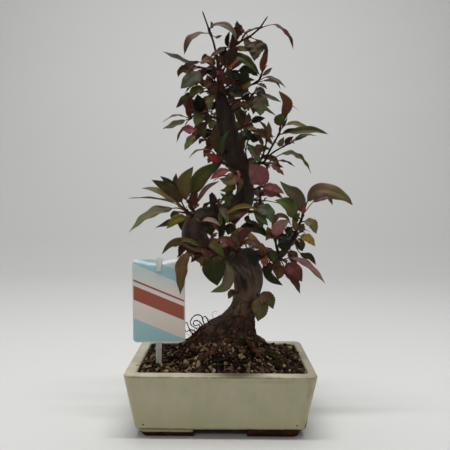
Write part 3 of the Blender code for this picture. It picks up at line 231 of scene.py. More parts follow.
# Leafy shoots. A twig is a path of (x, z, y) points with its first and last radius. A leaf is where it
# leaves the twig, as a share of its length, then the points its midrib passes, its width, the way its
# upper side faces (0 up, 90 to the front, in degrees), its colour and, if unusual, its stalk's share.
SHOOTS = {
    "leader_shoot": ([(-6.5, 415, 0), (-12, 438, -1), (-16.5, 450, -1), (-24, 470.5, 1)], (1.5, 0.8), [
        (0.55, [(-25, 446.5, -6), (-35, 443.5, -12), (-42, 435, -16),
            (-45, 422, -18)], 10, 50, "copper", 0.08),
        (0.52, [(-8, 442, -4), (-1.5, 444, -7)], 4.5, 55, "sage", 0.4),
        (0.62, [(-13, 455, -5), (-5, 457, -10), (4, 455, -15), (12, 447, -18),
            (15, 437, -20)], 9, 60, "mauve", 0.06),
        (0.62, [(-13, 455, 0), (-14.5, 460, 1)], 4, 60, "mauve"),
    ]),
    "crown_right_shoot": ([(-5, 403, 0), (2, 418, -4), (10, 430, -7), (20, 437.5, -8), (30, 443, -9),
        (41, 452.5, -10), (50, 465, -11)], (1.7, 0.8), [
        (0.45, [(16, 443, -8), (17, 452, -9), (15, 461, -10)], 13, 80, "copper", 0.3),
        (0.62, [(27, 449, -12), (34, 451.5, -14), (40, 454, -16)], 3.5, 40, "mauve"),
        (0.8, [(50, 455.5, -13), (58, 457, -15), (70, 450.5, -18), (78, 440, -20),
            (80.5, 429, -21)], 6.5, 35, "crimson"),
        (0.6, [(34, 434, -15), (38, 427, -19), (36, 415, -22)], 18, 75, "brown"),
        (0.64, [(39, 439, -8), (47, 433, -10), (51.5, 421, -12)], 7, 45, "maroon"),
        (0.4, [(20, 430, -14), (32, 427, -18)], 8, 70, "olive"),
        (0.3, [(4, 438, -10), (7, 449, -12)], 5.5, 70, "shade"),
        (0.48, [(14, 442, -5), (16, 449, -3)], 9, 70, "copper"),
        (0.38, [(2, 430, -12), (-7, 425, -15), (-16.5, 418.5, -18)], 8, 65, "maroon"),
        (0.22, [(14, 421, -18), (22, 418.5, -20), (32, 411, -22), (42.5, 399, -24)], 10, 60, "olive"),
    ]),
    "crown_left_shoot": ([(-4.8, 397, 0), (-14, 403, -3), (-24, 407, -5), (-30, 408, -6)], (1.5, 0.9), [
        (0.97, [(-38, 412, -8), (-50, 416.5, -10), (-69.5, 425, -13)], 11, 50, "olive"),
        (0.75, [(-29, 401, -12), (-37, 394, -16), (-49, 383, -20)], 20, 65, "bronze"),
        (0.9, [(-40, 404, -1), (-46, 405.5, 1), (-51, 401.5, 2), (-52, 396, 3)], 9, 70, "copper"),
        (0.95, [(-37, 408, -10), (-39.5, 401.5, -13)], 6, 65, "bronze"),
        (0.4, [(-12, 413, -9), (-18, 415.5, -13), (-26.5, 411, -16)], 12, 70, "copper"),
    ]),
    "crown_front_shoot": ([(-4.6, 394, 0), (-2, 400, -8), (2, 408, -14)], (1.3, 0.9), [
        (0.8, [(5, 414, -19), (11, 424, -24), (17, 432, -27)], 14, 80, "maroon"),
        (0.97, [(8, 410, -20), (14, 414, -25), (20, 417, -29)], 10, 70, "copper"),
        (0.6, [(8, 402, -17), (15, 401, -23), (17, 392, -27)], 7, 55, "shade"),
        (0.5, [(-9, 400, -17), (-13, 407, -22), (-20, 405, -26)], 8, 70, "brown"),
    ]),
    "upper_right_shoot": ([(-2.5, 367, 0), (14, 377, 2), (28, 386, 3), (41, 393, 2), (45, 402, 0)],
        (1.9, 1.0), [
        (0.97, [(45.5, 411, -3), (48, 421, -6), (48.5, 431, -9)], 8, 60, "copper", 0.1),
        (0.9, [(50, 402, 3), (56.5, 408, 4)], 5.5, 60, "mauve"),
        (0.8, [(50, 397, 0), (60, 394.5, -3), (67, 390, -6), (72.5, 385, -8)], 7, 50, "mauve"),
        (0.8, [(55, 393, 6), (62, 391, 9), (66.5, 383.5, 11)], 4.5, 55, "mauve"),
        (0.75, [(45, 388, -4), (51, 383.5, -8)], 6, 60, "brown"),
    ]),
    "inner_upper_shoot": ([(-3.5, 377, 0), (8, 384, -10), (18, 388, -16)], (1.4, 0.9), [
        (0.92, [(23, 393, -20), (24, 400, -22), (22, 407, -23)], 13, 80, "shade"),
        (0.97, [(26, 387, -22), (34, 388, -25)], 10, 75, "gold"),
        (0.8, [(28, 393, -16), (37, 393.5, -17)], 8, 60, "maroon"),
        (0.55, [(12, 379, -18), (21, 374, -24)], 9, 70, "brown"),
    ]),
    "left_upper_shoot": ([(-3.4, 373, 0), (-10, 379, -3), (-19, 385, -5), (-28, 390.5, -5)], (1.4, 0.8), [
        (0.98, [(-33, 389, -5), (-39, 384, -6), (-44.5, 377.5, -7)], 5.5, 40, "shade"),
        (0.6, [(-26, 382.5, -12), (-33, 380.5, -16), (-39.5, 374, -19)], 11, 65, "gold"),
        (0.3, [(-14, 374, -12), (-15, 366, -17), (-15, 357, -20)], 11, 85, "olive"),
        (0.5, [(-15, 391, -6), (-19, 399, -8)], 8, 70, "brown"),
    ]),
    "left_middle_shoot": ([(3, 344, 0), (-10, 350, 6), (-22, 354, 8), (-32, 354, 7), (-38, 348, 5)],
        (1.6, 0.9), [
        (0.58, [(-26, 362, -1), (-28, 370, -4), (-29.5, 377, -6)], 15, 80, "shade"),
        (0.78, [(-36, 362, 7), (-42, 369, 5), (-48.5, 374, 3)], 14, 75, "sage"),
        (0.95, [(-39.5, 355, -2), (-40, 364, -4), (-38.5, 374.5, -5)], 7, 75, "crimson", 0.05),
        (0.99, [(-45, 351, 4), (-54, 352.5, 2), (-62, 349.5, 0), (-69.5, 344.5, -2)], 5.5, 45, "rose"),
        (0.99, [(-45, 346.5, 0), (-56, 342, -4), (-69.5, 336.5, -8)], 10, 45, "sage"),
        (0.65, [(-27, 351, -6), (-30, 345, -11), (-32, 340, -13)], 14, 75, "olive"),
    ]),
    "left_lower_shoot": ([(13, 310, 0), (-2, 312, -12), (-12, 318, -15), (-22, 327, -16),
        (-31, 335, -16)], (1.5, 0.9), [
        (0.98, [(-38, 336, -19), (-47.5, 338.5, -23)], 11, 70, "rose", 0.12),
        (0.99, [(-42, 339, -13), (-49, 333, -10), (-53.5, 321, -8)], 4, 45, "maroon"),
        (0.95, [(-34, 329, -20), (-39, 321, -22), (-44.5, 312, -24)], 10, 60, "sage"),
        (0.7, [(-25, 323.5, -20), (-27, 319, -22)], 5.5, 70, "shade"),
        (0.75, [(-22, 333, -20), (-18.5, 339.5, -22)], 6.5, 75, "green"),
    ]),
    "front_left_shoot": ([(17, 296, 0), (8, 295, -14), (2, 298, -18), (-5, 303, -20)], (1.5, 1.0), [
        (0.85, [(-7, 302, -25), (-14, 305.5, -27), (-22, 309, -29)], 10, 65, "crimson", 0.1),
        (0.98, [(-10, 309, -21), (-18, 312.5, -21), (-28, 312, -23), (-34, 308.5, -25),
            (-39, 303, -26)], 5.5, 35, "mauve"),
        (0.98, [(-6, 318, -26), (-9.5, 328, -28), (-11.5, 339, -29)], 13, 80, "brown"),
        (0.85, [(-1, 313, -31), (1, 325, -33), (8, 336.5, -33)], 6.5, 65, "green"),
        (0.6, [(-2, 306, -14), (-9, 316, -16)], 7, 70, "green"),
    ]),
    "right_grey_shoot": ([(0.5, 354, 0), (18, 361, -8), (28, 370, -13), (36, 379, -15)], (1.5, 0.9), [
        (0.9, [(40, 372, -21), (44, 363, -23), (43.5, 352.5, -25)], 19, 80, "sage"),
        (0.98, [(45, 377, -13), (56, 373.5, -13), (67.5, 368.5, -14)], 6, 55, "sage"),
        (0.55, [(36, 362, -6), (50, 360, -6), (62, 352.5, -7)], 6, 45, "olive"),
        (0.98, [(40, 383, -20), (50, 377, -23)], 8, 60, "shade"),
        (0.6, [(28, 366, -20), (30, 358, -23)], 9, 75, "brown"),
    ]),
    "right_dark_shoot": ([(6, 334, 0), (20, 338, -12), (30, 343, -15)], (1.4, 0.9), [
        (0.97, [(38, 348, -18), (49, 350, -20)], 8, 60, "shade"),
        (0.85, [(33, 338, -20), (40, 336, -23)], 8, 60, "brown"),
        (0.6, [(26, 332, -20), (37, 325, -25)], 12, 70, "shade"),
        (0.85, [(30, 350, -11), (30, 356, -10)], 7, 60, "brown"),
    ]),
    "fan_upper_shoot": ([(48.5, 298.5, -6), (54, 311, -8.5), (61, 324, -8.5), (66, 334, -8),
        (67, 340, -8)], (1.4, 0.9), [
        (0.98, [(65.5, 346, -12), (70, 356, -14)], 13, 85, "olive", 0.15),
        (0.98, [(71, 353, -5), (74.5, 366, -7), (64.5, 381.5, -9)], 12, 80, "copper", 0.3),
        (0.98, [(73, 352, 0), (79, 364.5, 2), (87, 360, 3)], 3, 50, "shade"),
        (0.92, [(72, 341.5, -11), (82, 344.5, -13), (92, 341.5, -15), (104, 335, -17)], 7, 50, "olive"),
        (0.8, [(80, 334, -17), (96, 336, -21), (108, 336, -23), (122.5, 332, -25)], 10, 60, "olive"),
        (0.78, [(74, 334, -3), (81, 336, -3), (92, 335, -4)], 6, 60, "shade"),
        (0.9, [(72, 344.5, -6), (75, 351, -7)], 3, 50, "maroon"),
        (0.6, [(66, 320, -12), (71, 328.5, -14)], 7, 75, "sage"),
    ]),
    "fan_lower_shoot": ([(47, 298, -3.5), (57, 309, 1), (69, 316.5, 2), (80, 322, 3)], (1.2, 0.8), [
        (0.98, [(88, 326.5, 3), (100, 331, 4)], 4, 45, "shade"),
        (0.95, [(84, 326.5, 1), (95, 331, -2), (109, 330, -5)], 5, 50, "olive"),
        (0.75, [(75, 323, -2), (82, 329, -4)], 7, 65, "brown"),
    ]),
    "fan_inner_shoot": ([(42, 296, -4), (46.5, 306, -11), (49.5, 316, -13), (51.5, 326, -13)], (1.2, 0.8), [
        (0.98, [(50, 332, -16), (47, 336, -18), (42, 336.5, -20)], 7, 55, "maroon"),
        (0.92, [(53.5, 335, -16), (53, 346, -18)], 7, 75, "brown", 0.1),
        (0.97, [(55, 331, -11), (58, 326, -10)], 4, 60, "brown"),
        (0.97, [(50.5, 337, -10), (46, 343.5, -9), (41, 347, -8)], 4, 45, "mauve"),
        (0.6, [(45, 323, -15), (40, 329.5, -17), (33, 332, -19)], 6, 50, "brown"),
        (0.3, [(42, 303, -16), (36, 311, -19), (26, 321, -20)], 12, 65, "sage", 0.08),
        (0.4, [(42, 311, -19), (41, 316, -23), (47, 319.5, -25)], 9, 70, "brown"),
    ]),
    "arching_shoot": ([(47, 297.5, -5), (52, 296.5, -12)], (1.4, 1.1), [
        (0.9, [(62, 305, -13), (72, 309.5, -15), (84, 308.5, -18), (94, 301.5, -20),
            (103.5, 286.5, -22)], 11, 50, "olive", 0.3),
        (0.97, [(62, 300.5, -14), (74, 300, -16), (84.5, 294, -18)], 5.5, 40, "maroon"),
        (0.7, [(60, 297, -7), (71, 293, -7)], 5, 45, "maroon"),
        (0.97, [(58, 294.5, -16), (65, 290, -18), (72, 284, -20)], 8, 50, "maroon"),
        (0.6, [(52, 294, -8), (49.5, 288, -9)], 3.5, 60, "sage"),
    ]),
    "rose_shoot": ([(26.5, 264, 3), (36, 267.5, -6), (44, 269.5, -12)], (1.5, 1.0), [
        (0.95, [(44.5, 276, -16), (40, 286, -19), (31, 297, -21)], 24, 80, "rose", 0.12),
        (0.98, [(52, 270.5, -15), (61, 269, -16), (72.5, 262.5, -18)], 10, 60, "rose", 0.1),
        (0.9, [(54, 262, -8), (62, 262.5, -8), (71, 257, -8)], 8, 50, "mauve"),
        (0.95, [(44.3, 258, -10), (44, 246, -9)], 3, 60, "shade"),
    ]),
    "middle_shoot": ([(24, 282, 1), (19, 285, -13), (13, 286.5, -19)], (1.4, 1.0), [
        (0.8, [(12, 279, -23), (5, 276.5, -25), (-3.5, 279.5, -26)], 13, 75, "brown", 0.12),
        (0.7, [(9, 270, -24), (3, 266, -26), (-3, 266, -27)], 8, 65, "olive"),
        (0.98, [(5, 289, -23), (-4, 286, -26), (-14, 278.5, -28)], 9, 65, "rose"),
        (0.95, [(17, 289, -22), (19.5, 284, -24), (17, 276, -25)], 3.5, 50, "rose"),
        (0.6, [(21, 275, -19), (19, 263, -21)], 7, 70, "olive"),
    ]),
    "left_cluster_high": ([(-23, 231, -4), (-32, 240, -7), (-37, 247, -9)], (2.0, 1.1), [
        (0.98, [(-42, 258, -12), (-45, 273, -16), (-34, 293.5, -18)], 16, 75, "olive"),
        (0.9, [(-35, 262, -3), (-26, 280, 0), (-3, 299, 3)], 18, 70, "olive"),
        (0.8, [(-33, 254, -15), (-29, 266, -19)], 13, 80, "maroon"),
        (0.7, [(-27, 256, -10), (-18, 269, -12), (-3, 277, -13)], 6, 45, "mauve"),
        (0.97, [(-48, 263, -4), (-55, 275, -2), (-54, 286, 0)], 11, 70, "brown"),
    ]),
    "left_cluster_low": ([(-26, 227, -6), (-36, 237, -14), (-43, 243, -17)], (1.8, 1.1), [
        (0.85, [(-52, 245, -21), (-62, 244, -23), (-77, 242, -26), (-92, 233.5, -28),
            (-109, 216, -30)], 15, 55, "sage", 0.25),
        (0.97, [(-56, 250.5, -16), (-68, 254, -17), (-88, 256.5, -18), (-109.5, 256, -19)], 8, 18, "sage"),
        (0.98, [(-54, 253, -18), (-66, 260, -20), (-79, 266, -21), (-94, 267.5, -22)], 12, 60, "olive"),
        (0.95, [(-52, 258, -25), (-63, 268, -29), (-73, 273, -31), (-82.5, 277.5, -31)], 13, 75, "bronze"),
        (0.95, [(-55, 266, -12), (-64, 276, -13), (-72.5, 282, -13)], 11, 70, "green"),
        (0.6, [(-48, 231.5, -20), (-58, 229, -22), (-67, 226, -24), (-78, 221.5, -25)], 9, 60, "brown"),
        (0.55, [(-56, 230, -28), (-65, 220.5, -31)], 11, 70, "gold"),
    ]),
    "limb_top_shoot": ([(-9, 238, -1), (-8, 245, -12), (-6, 249, -17)], (1.4, 1.0), [
        (0.9, [(-10, 254, -19), (-12, 264, -20)], 7, 80, "plum", 0.12),
        (0.98, [(7, 249.5, -19), (5, 256, -21), (-2.5, 263, -22)], 7, 70, "green"),
        (0.97, [(5, 240, -23), (17, 245.5, -25), (28, 247.5, -26), (43, 243, -27)], 7, 50, "gold"),
        (0.85, [(-2, 236, -20), (0, 222, -22), (-3, 203, -22)], 9, 60, "shade"),
    ]),
    "sage_shoot": ([(20, 248, 4), (29, 242, -9), (36, 241, -14)], (1.5, 1.0), [
        (0.9, [(44, 245, -18), (53, 241.5, -20), (59, 227.5, -22)], 15, 70, "sage"),
        (0.98, [(42, 236.5, -19), (48, 232, -22), (54, 225, -24)], 8, 60, "green"),
        (0.9, [(24, 237, -16), (17, 230, -16), (12, 220.5, -17)], 4, 45, "mauve"),
        (0.85, [(29, 232, -15), (38, 226.5, -17)], 7, 60, "shade"),
        (0.5, [(20, 239, -18), (12, 236, -21), (4, 231, -23)], 10, 70, "brown"),
    ]),
    "under_limb_shoot": ([(6, 189, -2), (9, 200, -19), (10, 211, -23)], (1.5, 1.0), [
        (0.9, [(12, 213, -27), (17, 209.5, -30), (27, 203, -33)], 18, 75, "olive"),
        (0.98, [(20, 219, -19), (32, 214.5, -21), (47, 203, -23)], 9, 60, "copper", 0.1),
        (0.98, [(24, 222, -13), (36, 224, -14), (47, 218, -16), (55, 211, -17)], 15, 70, "shade", 0.3),
        (0.6, [(4, 204, -25), (-3, 198, -28)], 9, 70, "brown"),
    ]),
    "centre_shoot": ([(14, 187, -2), (17, 192, -24), (21, 200, -37)], (1.5, 1.0), [
        (0.95, [(30, 207, -42), (40, 204, -44), (52, 195, -45)], 9, 60, "brown"),
        (0.9, [(24, 213, -40), (31, 220, -43), (39, 220, -45)], 10, 70, "maroon"),
        (0.8, [(29, 196, -38), (36, 189, -41), (40, 176, -42)], 12, 60, "shade"),
        (0.65, [(14, 193, -33), (12, 186, -36), (10, 178, -37)], 7, 75, "shade"),
        (0.75, [(12, 204, -40), (3, 209, -43), (-8, 207, -45)], 9, 65, "maroon"),
    ]),
    "right_tip_shoot": ([(87.5, 222, -7.6), (92.5, 232, -9), (95, 240, -10)], (1.4, 1.1), [
        (0.98, [(100, 255, -13), (108, 265, -16), (121, 267, -19), (136, 262.5, -22), (146, 257, -24),
            (152.5, 249.5, -25)], 19, 60, "bronze", 0.2),
        (0.97, [(112, 257, -23), (124, 259, -26), (129, 249.5, -27)], 9, 75, "mauve", 0.4),
        (0.85, [(91, 250, -14), (86, 261, -17), (77, 267, -19), (67, 277, -20)], 17, 70, "sage", 0.1),
        (0.6, [(84, 240, -17), (77, 249.5, -20), (61, 255, -22)], 18, 70, "green"),
        (0.4, [(96, 230.5, -14), (105, 228, -17), (110.5, 216, -19)], 12, 60, "olive"),
        (0.8, [(95, 244, -14), (97, 251, -15)], 5, 60, "crimson"),
    ]),
    "right_side_shoot": ([(81.5, 207, -6.4), (86, 212, -13), (89, 216, -17)], (1.3, 1.0), [
        (0.8, [(93, 213, -21), (100, 211.5, -23), (109.5, 201.5, -25)], 10, 60, "gold"),
        (0.98, [(95, 221, -19), (103, 218.5, -20)], 3.5, 50, "mauve"),
        (0.45, [(88, 205, -14), (92, 196.5, -15)], 4.5, 60, "shade"),
        (0.6, [(93, 208, -17), (98, 202, -18)], 4, 60, "brown"),
        (0.98, [(86.5, 224, -21), (82, 233, -23)], 8, 70, "brown"),
        (0.5, [(88, 198, -11), (95, 191, -12), (103, 189, -12), (110.5, 179.5, -13)], 8, 60, "brown", 0.45),
    ]),
    "pink_shoot": ([(68, 190.5, -5), (64, 202, -13), (62, 211, -18)], (1.4, 1.0), [
        (0.95, [(63, 218, -22), (69, 226, -25), (79, 232, -27)], 14, 75, "mauve", 0.12),
        (0.9, [(60, 227, -14), (66, 237, -14), (74, 236, -15), (81, 225.5, -16)], 6, 50, "brown"),
        (0.85, [(69, 213, -19), (74, 206, -23), (70, 195, -26)], 15, 75, "shade"),
        (0.8, [(56, 214, -20), (51, 207.5, -22)], 7, 70, "maroon"),
    ]),
    "right_low_shoot": ([(61, 191.5, -4), (66, 187, -11), (72, 185.5, -14)], (1.4, 1.0), [
        (0.98, [(81, 187.5, -15), (95, 184.5, -18), (108, 174.5, -21),
            (122, 157.5, -24)], 11, 50, "mauve", 0.15),
        (0.9, [(78, 179, -20), (87, 171, -24), (94.5, 159.5, -26)], 18, 60, "maroon"),
        (0.8, [(75, 174, -11), (86, 161, -13), (92.5, 145, -14)], 11, 55, "maroon"),
        (0.7, [(66, 178, -15), (68, 170, -18), (66, 161.5, -20)], 14, 75, "brown"),
        (0.5, [(62, 192, -15), (59, 183, -18)], 11, 75, "green"),
    ]),
    "knuckle_shoot": ([(40, 188, -1), (45, 190, -12), (47, 188, -16)], (1.4, 1.0), [
        (0.9, [(48, 198, -19), (47, 205, -20)], 9, 75, "copper", 0.1),
        (0.97, [(50, 186, -20), (49, 177, -22)], 10, 80, "copper", 0.1),
        (0.97, [(50, 176, -17), (56, 165.5, -19), (72, 155, -21)], 10, 55, "shade"),
    ]),
    "neck_shoot": ([(34, 148, -2), (42, 144, -13), (45, 141, -16)], (1.4, 1.1), [
        (0.8, [(48, 143, -17), (56, 139, -18), (61, 127, -19)], 14, 62, "bronze", 0.08),
        (0.98, [(45, 135, -18), (46, 124, -20), (43, 112, -21)], 20, 75, "bronze", 0.06),
    ]),
    "left_low_shoot": ([(-12, 192, -3), (-17, 198, -20), (-22, 199.5, -25)], (1.5, 1.1), [
        (0.98, [(-36, 205, -27), (-47, 206, -26), (-60, 202.5, -23),
            (-70.5, 190.5, -20)], 9, 50, "bronze", 0.15),
        (0.9, [(-38, 203, -21), (-46, 198.5, -21), (-50.5, 187, -20)], 11, 65, "maroon"),
        (0.98, [(-30, 203, -31), (-40, 207, -33), (-48, 206, -34)], 6, 60, "olive"),
        (0.8, [(-26, 196, -31), (-36, 199, -34), (-47, 202, -37)], 8, 65, "brown"),
        (0.6, [(-19, 193, -28), (-24, 187, -31), (-22, 178.5, -32)], 15, 75, "brown"),
        (0.6, [(-13, 203, -30), (-5, 198, -33), (4, 185.5, -34)], 10, 65, "olive"),
    ]),
    "hanging_shoot": ([(-18, 196, -6), (-26, 192, -25), (-34, 190.5, -39)], (1.2, 0.9), [
        (0.97, [(-41, 189, -41), (-46, 181, -42), (-47.5, 165, -43),
            (-48.5, 143, -43)], 14, 85, "brown", 0.06),
    ]),
    "front_low_shoot": ([(-2, 190, -3), (-6, 194, -24), (-9, 192.5, -30)], (1.5, 1.1), [
        (0.95, [(-9, 184, -35), (-8, 169, -37), (-5, 154, -38)], 27, 82, "moss", 0.1),
        (0.8, [(8, 172, -28), (5, 154, -31), (-13, 146, -32)], 13, 65, "pale"),
        (0.7, [(5, 180, -25), (11, 168, -26), (8, 157, -27)], 11, 75, "green"),
    ]),
    "knob_shoot": ([(24, 148, -2), (18, 146, -14)], (1.3, 1.0), [
        (0.9, [(12, 146, -16), (8, 138.5, -17)], 8, 65, "brown", 0.12),
    ]),
}

# Shoots on the far side: where the twig starts and ends, and the turn of its first leaf round it, in
# degrees. The leaves that follow turn by the golden angle.
BACK_SHOOTS = [
    ((-5, 402, 0), (-20, 414, 18), 0),
    ((-4, 392, 0), (14, 404, 24), 0),
    ((-3, 376, 0), (-20, 380, 28), 0),
    ((0, 362, 0), (22, 372, 34), 135),
    ((3, 346, 0), (-16, 350, 36), 105),
    ((8, 330, 0), (30, 340, 38), 30),
    ((13, 312, 1), (-4, 318, 40), 0),
    ((20, 294, 3), (40, 304, 42), 0),
    ((25, 272, 4), (14, 282, 42), 90),
    ((24, 252, 5), (48, 254, 42), 0),
    ((-4, 238, 0), (-4, 254, 40), 0),
    ((-24, 232, -3), (-48, 240, 30), 0),
    ((-8, 191, -2), (-22, 204, 38), 0),
    ((22, 179, -1), (34, 198, 40), 0),
    ((70, 191, -5), (84, 204, 24), 0),
]
# How short some far-side leaves are, by shoot and leaf
BACK_TUCKS = {
    (1, 2): 0.45, (6, 0): 0.6, (7, 4): 0.6, (11, 2): 0.6, (12, 1): 0.45, (12, 4): 0.3,
    (14, 0): 0.6, (14, 2): 0.7, (15, 0): 0.5, (15, 3): 0.35,
}
BACK_LEAVES = 5
BACK_LEAF_LENGTH = 35
BACK_LEAF_WIDTH = 13
GOLDEN_ANGLE = math.radians(137.5)
BACK_TONES = ["olive", "maroon", "green", "brown", "sage", "mauve", "shade"]

# Short spurs among the crown's and limb's leaves: a twig, then its leaves, as in the shoots
INNER_SPURS = [
    ([(-3.5, 381, -2), (6, 388, -10), (12, 394, -14)], [
        (0.5, [(5, 381, -14), (9, 372, -18)], 8, 75, "shade"),
        (0.9, [(14, 388, -18), (17, 378, -22)], 9, 75, "shade"),
        (0.97, [(8, 399, -17), (5, 408, -19)], 7, 75, "brown"),
        (0.97, [(15, 398, -12), (19, 389, -10)], 8, 70, "shade"),
    ]),
    ([(-5, 398, 0), (-8, 397, -5), (-12, 394, -9)], [
        (0.9, [(-17, 391, -12), (-19, 383, -14)], 9, 75, "brown"),
        (0.97, [(-13, 399, -13), (-8, 402, -16)], 6, 70, "maroon"),
        (0.6, [(-11, 388, -12), (-8, 376, -15)], 9, 80, "maroon"),
        (0.8, [(-6, 404, -14), (-1, 396, -16), (0, 386, -17)], 9, 80, "maroon"),
        (0.7, [(-15, 402, -8), (-19, 408, -9)], 8, 75, "shade"),
    ]),
    ([(-6, 412, 0), (0, 418, -6), (4, 424, -9)], [
        (0.5, [(-1, 424, -9), (-3, 431, -11)], 8, 75, "brown"),
        (0.97, [(9, 428, -12), (12, 437, -14), (10, 446, -15)], 8, 80, "maroon"),
        (0.97, [(9, 421, -12), (14, 414, -15)], 8, 70, "brown"),
    ]),
    ([(20, 437.5, -8), (25, 446, -11), (34, 451, -13), (43, 454, -15)], [
        (0.35, [(23, 449, -14), (19, 452, -15)], 5, 70, "crimson"),
        (0.2, [(28, 434, -14), (34, 425, -16)], 8, 70, "olive"),
    ]),
    ([(24, 384, 3), (33, 377, -3), (38, 372, -6)], [
        (0.6, [(30, 368, -9), (28, 360, -11)], 9, 75, "shade"),
        (0.97, [(42, 378, -9), (47, 384, -10)], 7, 70, "brown"),
        (0.97, [(43, 366, -8), (45, 358, -9)], 8, 75, "olive"),
        (0.8, [(36, 362, -10), (35, 354, -12)], 8, 75, "brown"),
    ]),
    ([(2, 356, -4), (12, 366, -12), (20, 371, -15)], [
        (0.9, [(24, 366, -18), (25, 358, -20)], 9, 75, "brown"),
        (0.97, [(26, 374, -17), (31, 379, -18)], 7, 70, "shade"),
        (0.5, [(10, 372, -15), (6, 378, -17)], 7, 75, "maroon"),
    ]),
    ([(2, 345, -4), (-8, 350, -10), (-13, 356, -12)], [
        (0.9, [(-17, 351, -13), (-18, 342, -15)], 8, 75, "brown"),
        (0.97, [(-12, 362, -14), (-9, 369, -15)], 7, 75, "shade"),
        (0.6, [(-12, 344, -14), (-15, 336, -15)], 8, 75, "olive"),
    ]),
    ([(6, 328, -5), (-6, 330, -10), (-12, 331, -11)], [
        (0.9, [(-17, 333, -12), (-20, 326, -14)], 9, 75, "shade"),
        (0.9, [(-15, 324, -13), (-18, 315, -14)], 7, 75, "maroon"),
        (0.5, [(-8, 336, -13), (-10, 343, -14)], 6, 75, "brown"),
    ]),
    ([(9, 311, -5), (-2, 308, -11), (-8, 306, -12)], [
        (0.95, [(-13, 304, -13), (-17, 297, -15)], 7, 70, "brown"),
        (0.8, [(-7, 314, -14), (-11, 319, -15)], 6, 75, "shade"),
    ]),
    ([(31, 294, -1), (27, 312, -8), (30, 326, -12)], [
        (0.97, [(36, 327, -15), (42, 324, -17)], 10, 75, "shade"),
        (0.9, [(28, 333, -14), (24, 340, -16)], 7, 75, "olive"),
        (0.6, [(23, 317, -11), (20, 323, -13)], 7, 75, "brown"),
    ]),
    ([(-20, 224, -16), (-22, 226, -19), (-25, 229, -21)], [
        (0.9, [(-20, 231.5, -25), (-9, 230, -27), (-1, 224, -27)], 5, 50, "pale", 0.08),
        (0.97, [(-28, 231, -24), (-31, 233, -25)], 3, 50, "olive"),
    ]),
    ([(-6, 240, -11), (-5, 244, -15), (-4, 247, -17)], [
        (0.97, [(0, 244, -21), (5, 236, -23), (7, 227, -24)], 8, 55, "sage", 0.08),
        (0.6, [(-2, 240, -19), (-1, 231, -22), (-4, 223, -23)], 7, 75, "olive"),
    ]),
    ([(-14, 193, -17), (-20, 199, -23), (-27, 203, -27)], [
        (0.97, [(-36, 206, -31), (-46, 205, -33), (-56, 199, -33)], 6, 50, "brown", 0.1),
        (0.6, [(-27, 198, -29), (-36, 195, -31), (-44, 187, -32)], 8, 60, "brown", 0.1),
        (0.3, [(-22, 195, -26), (-29, 190, -30), (-36, 181, -31)], 8, 65, "maroon"),
        (0.8, [(-23, 197, -30), (-17, 191, -33), (-14, 184, -34)], 7, 60, "brown"),
    ]),
    ([(-10, 235, -8), (-10, 232, -13), (-11, 229, -15)], [
        (0.97, [(-14, 224, -18), (-14, 213, -20)], 12, 80, "shade"),
        (0.8, [(-6, 226, -17), (-4, 218, -19)], 8, 80, "brown"),
    ]),
    ([(3, 238, -6), (6, 235, -12), (8, 231, -14)], [
        (0.97, [(10, 224, -17), (7, 214, -19)], 12, 80, "shade"),
        (0.6, [(14, 230, -15), (20, 236, -17)], 6, 70, "brown"),
    ]),
    ([(66, 191, -5), (63, 202, -12), (62, 208, -14)], [
        (0.97, [(57, 215, -17), (53, 224, -19)], 9, 75, "brown"),
        (0.97, [(66, 214, -16), (72, 218, -18)], 8, 70, "mauve"),
        (0.6, [(68, 203, -15), (72, 197, -17)], 8, 75, "shade"),
    ]),
    ([(89, 226, -8), (86, 225, -11), (84, 224, -13)], [
        (0.97, [(80, 221, -16), (79, 212, -18)], 10, 75, "shade"),
        (0.6, [(92, 222, -14), (96, 228, -15)], 8, 75, "brown"),
        (0.9, [(86, 233, -16), (91, 241, -17)], 7, 75, "olive"),
    ]),
    ([(52, 192, -4), (55, 188, -10), (58, 184, -13)], [
        (0.97, [(63, 182, -15), (70, 178, -17)], 9, 65, "brown"),
        (0.8, [(56, 178, -15), (58, 170, -17)], 8, 80, "maroon"),
    ]),
    ([(-4, 388, -3), (3, 402, -9), (6, 412, -12)], [
        (0.5, [(9, 401, -12), (15, 394, -14)], 9, 75, "shade"),
        (0.97, [(12, 418, -14), (20, 422, -15)], 8, 70, "brown"),
        (0.8, [(0, 414, -14), (-4, 421, -15)], 8, 75, "maroon"),
        (0.97, [(3, 420, -13), (2, 430, -14)], 8, 80, "shade"),
    ]),
    ([(-3, 370, -4), (4, 378, -12), (8, 384, -15)], [
        (0.9, [(13, 381, -17), (19, 376, -18)], 8, 75, "shade"),
        (0.97, [(6, 391, -17), (2, 397, -18)], 8, 75, "brown"),
        (0.5, [(-2, 384, -13), (-5, 392, -14)], 8, 75, "maroon"),
    ]),
]
INNER_GIRTH = (0.95, 0.55)
BARE_TIPS = ("leader_shoot", "crown_right_shoot")


# Node trees


class Value:
    """One output of a node. Arithmetic on it adds Math nodes to its tree."""

    def __init__(self, graph, socket):
        self.graph = graph
        self.socket = socket

    def reckon(self, operation, first, second=0):
        return self.graph.node("ShaderNodeMath", {"operation": operation}, {0: first, 1: second})

    def other(self, name):
        """Another output of the same node."""
        return Value(self.graph, self.socket.node.outputs[name])

    def least(self, other):
        return self.reckon("MINIMUM", self, other)

    def most(self, other):
        return self.reckon("MAXIMUM", self, other)

    def __add__(self, other):
        return self.reckon("ADD", self, other)

    def __sub__(self, other):
        return self.reckon("SUBTRACT", self, other)

    def __rsub__(self, other):
        return self.reckon("SUBTRACT", other, self)

    def __mul__(self, other):
        return self.reckon("MULTIPLY", self, other)

    def __pow__(self, other):
        return self.reckon("POWER", self, other)

    def __abs__(self):
        return self.reckon("ABSOLUTE", self)

    __radd__ = __add__
    __rmul__ = __mul__


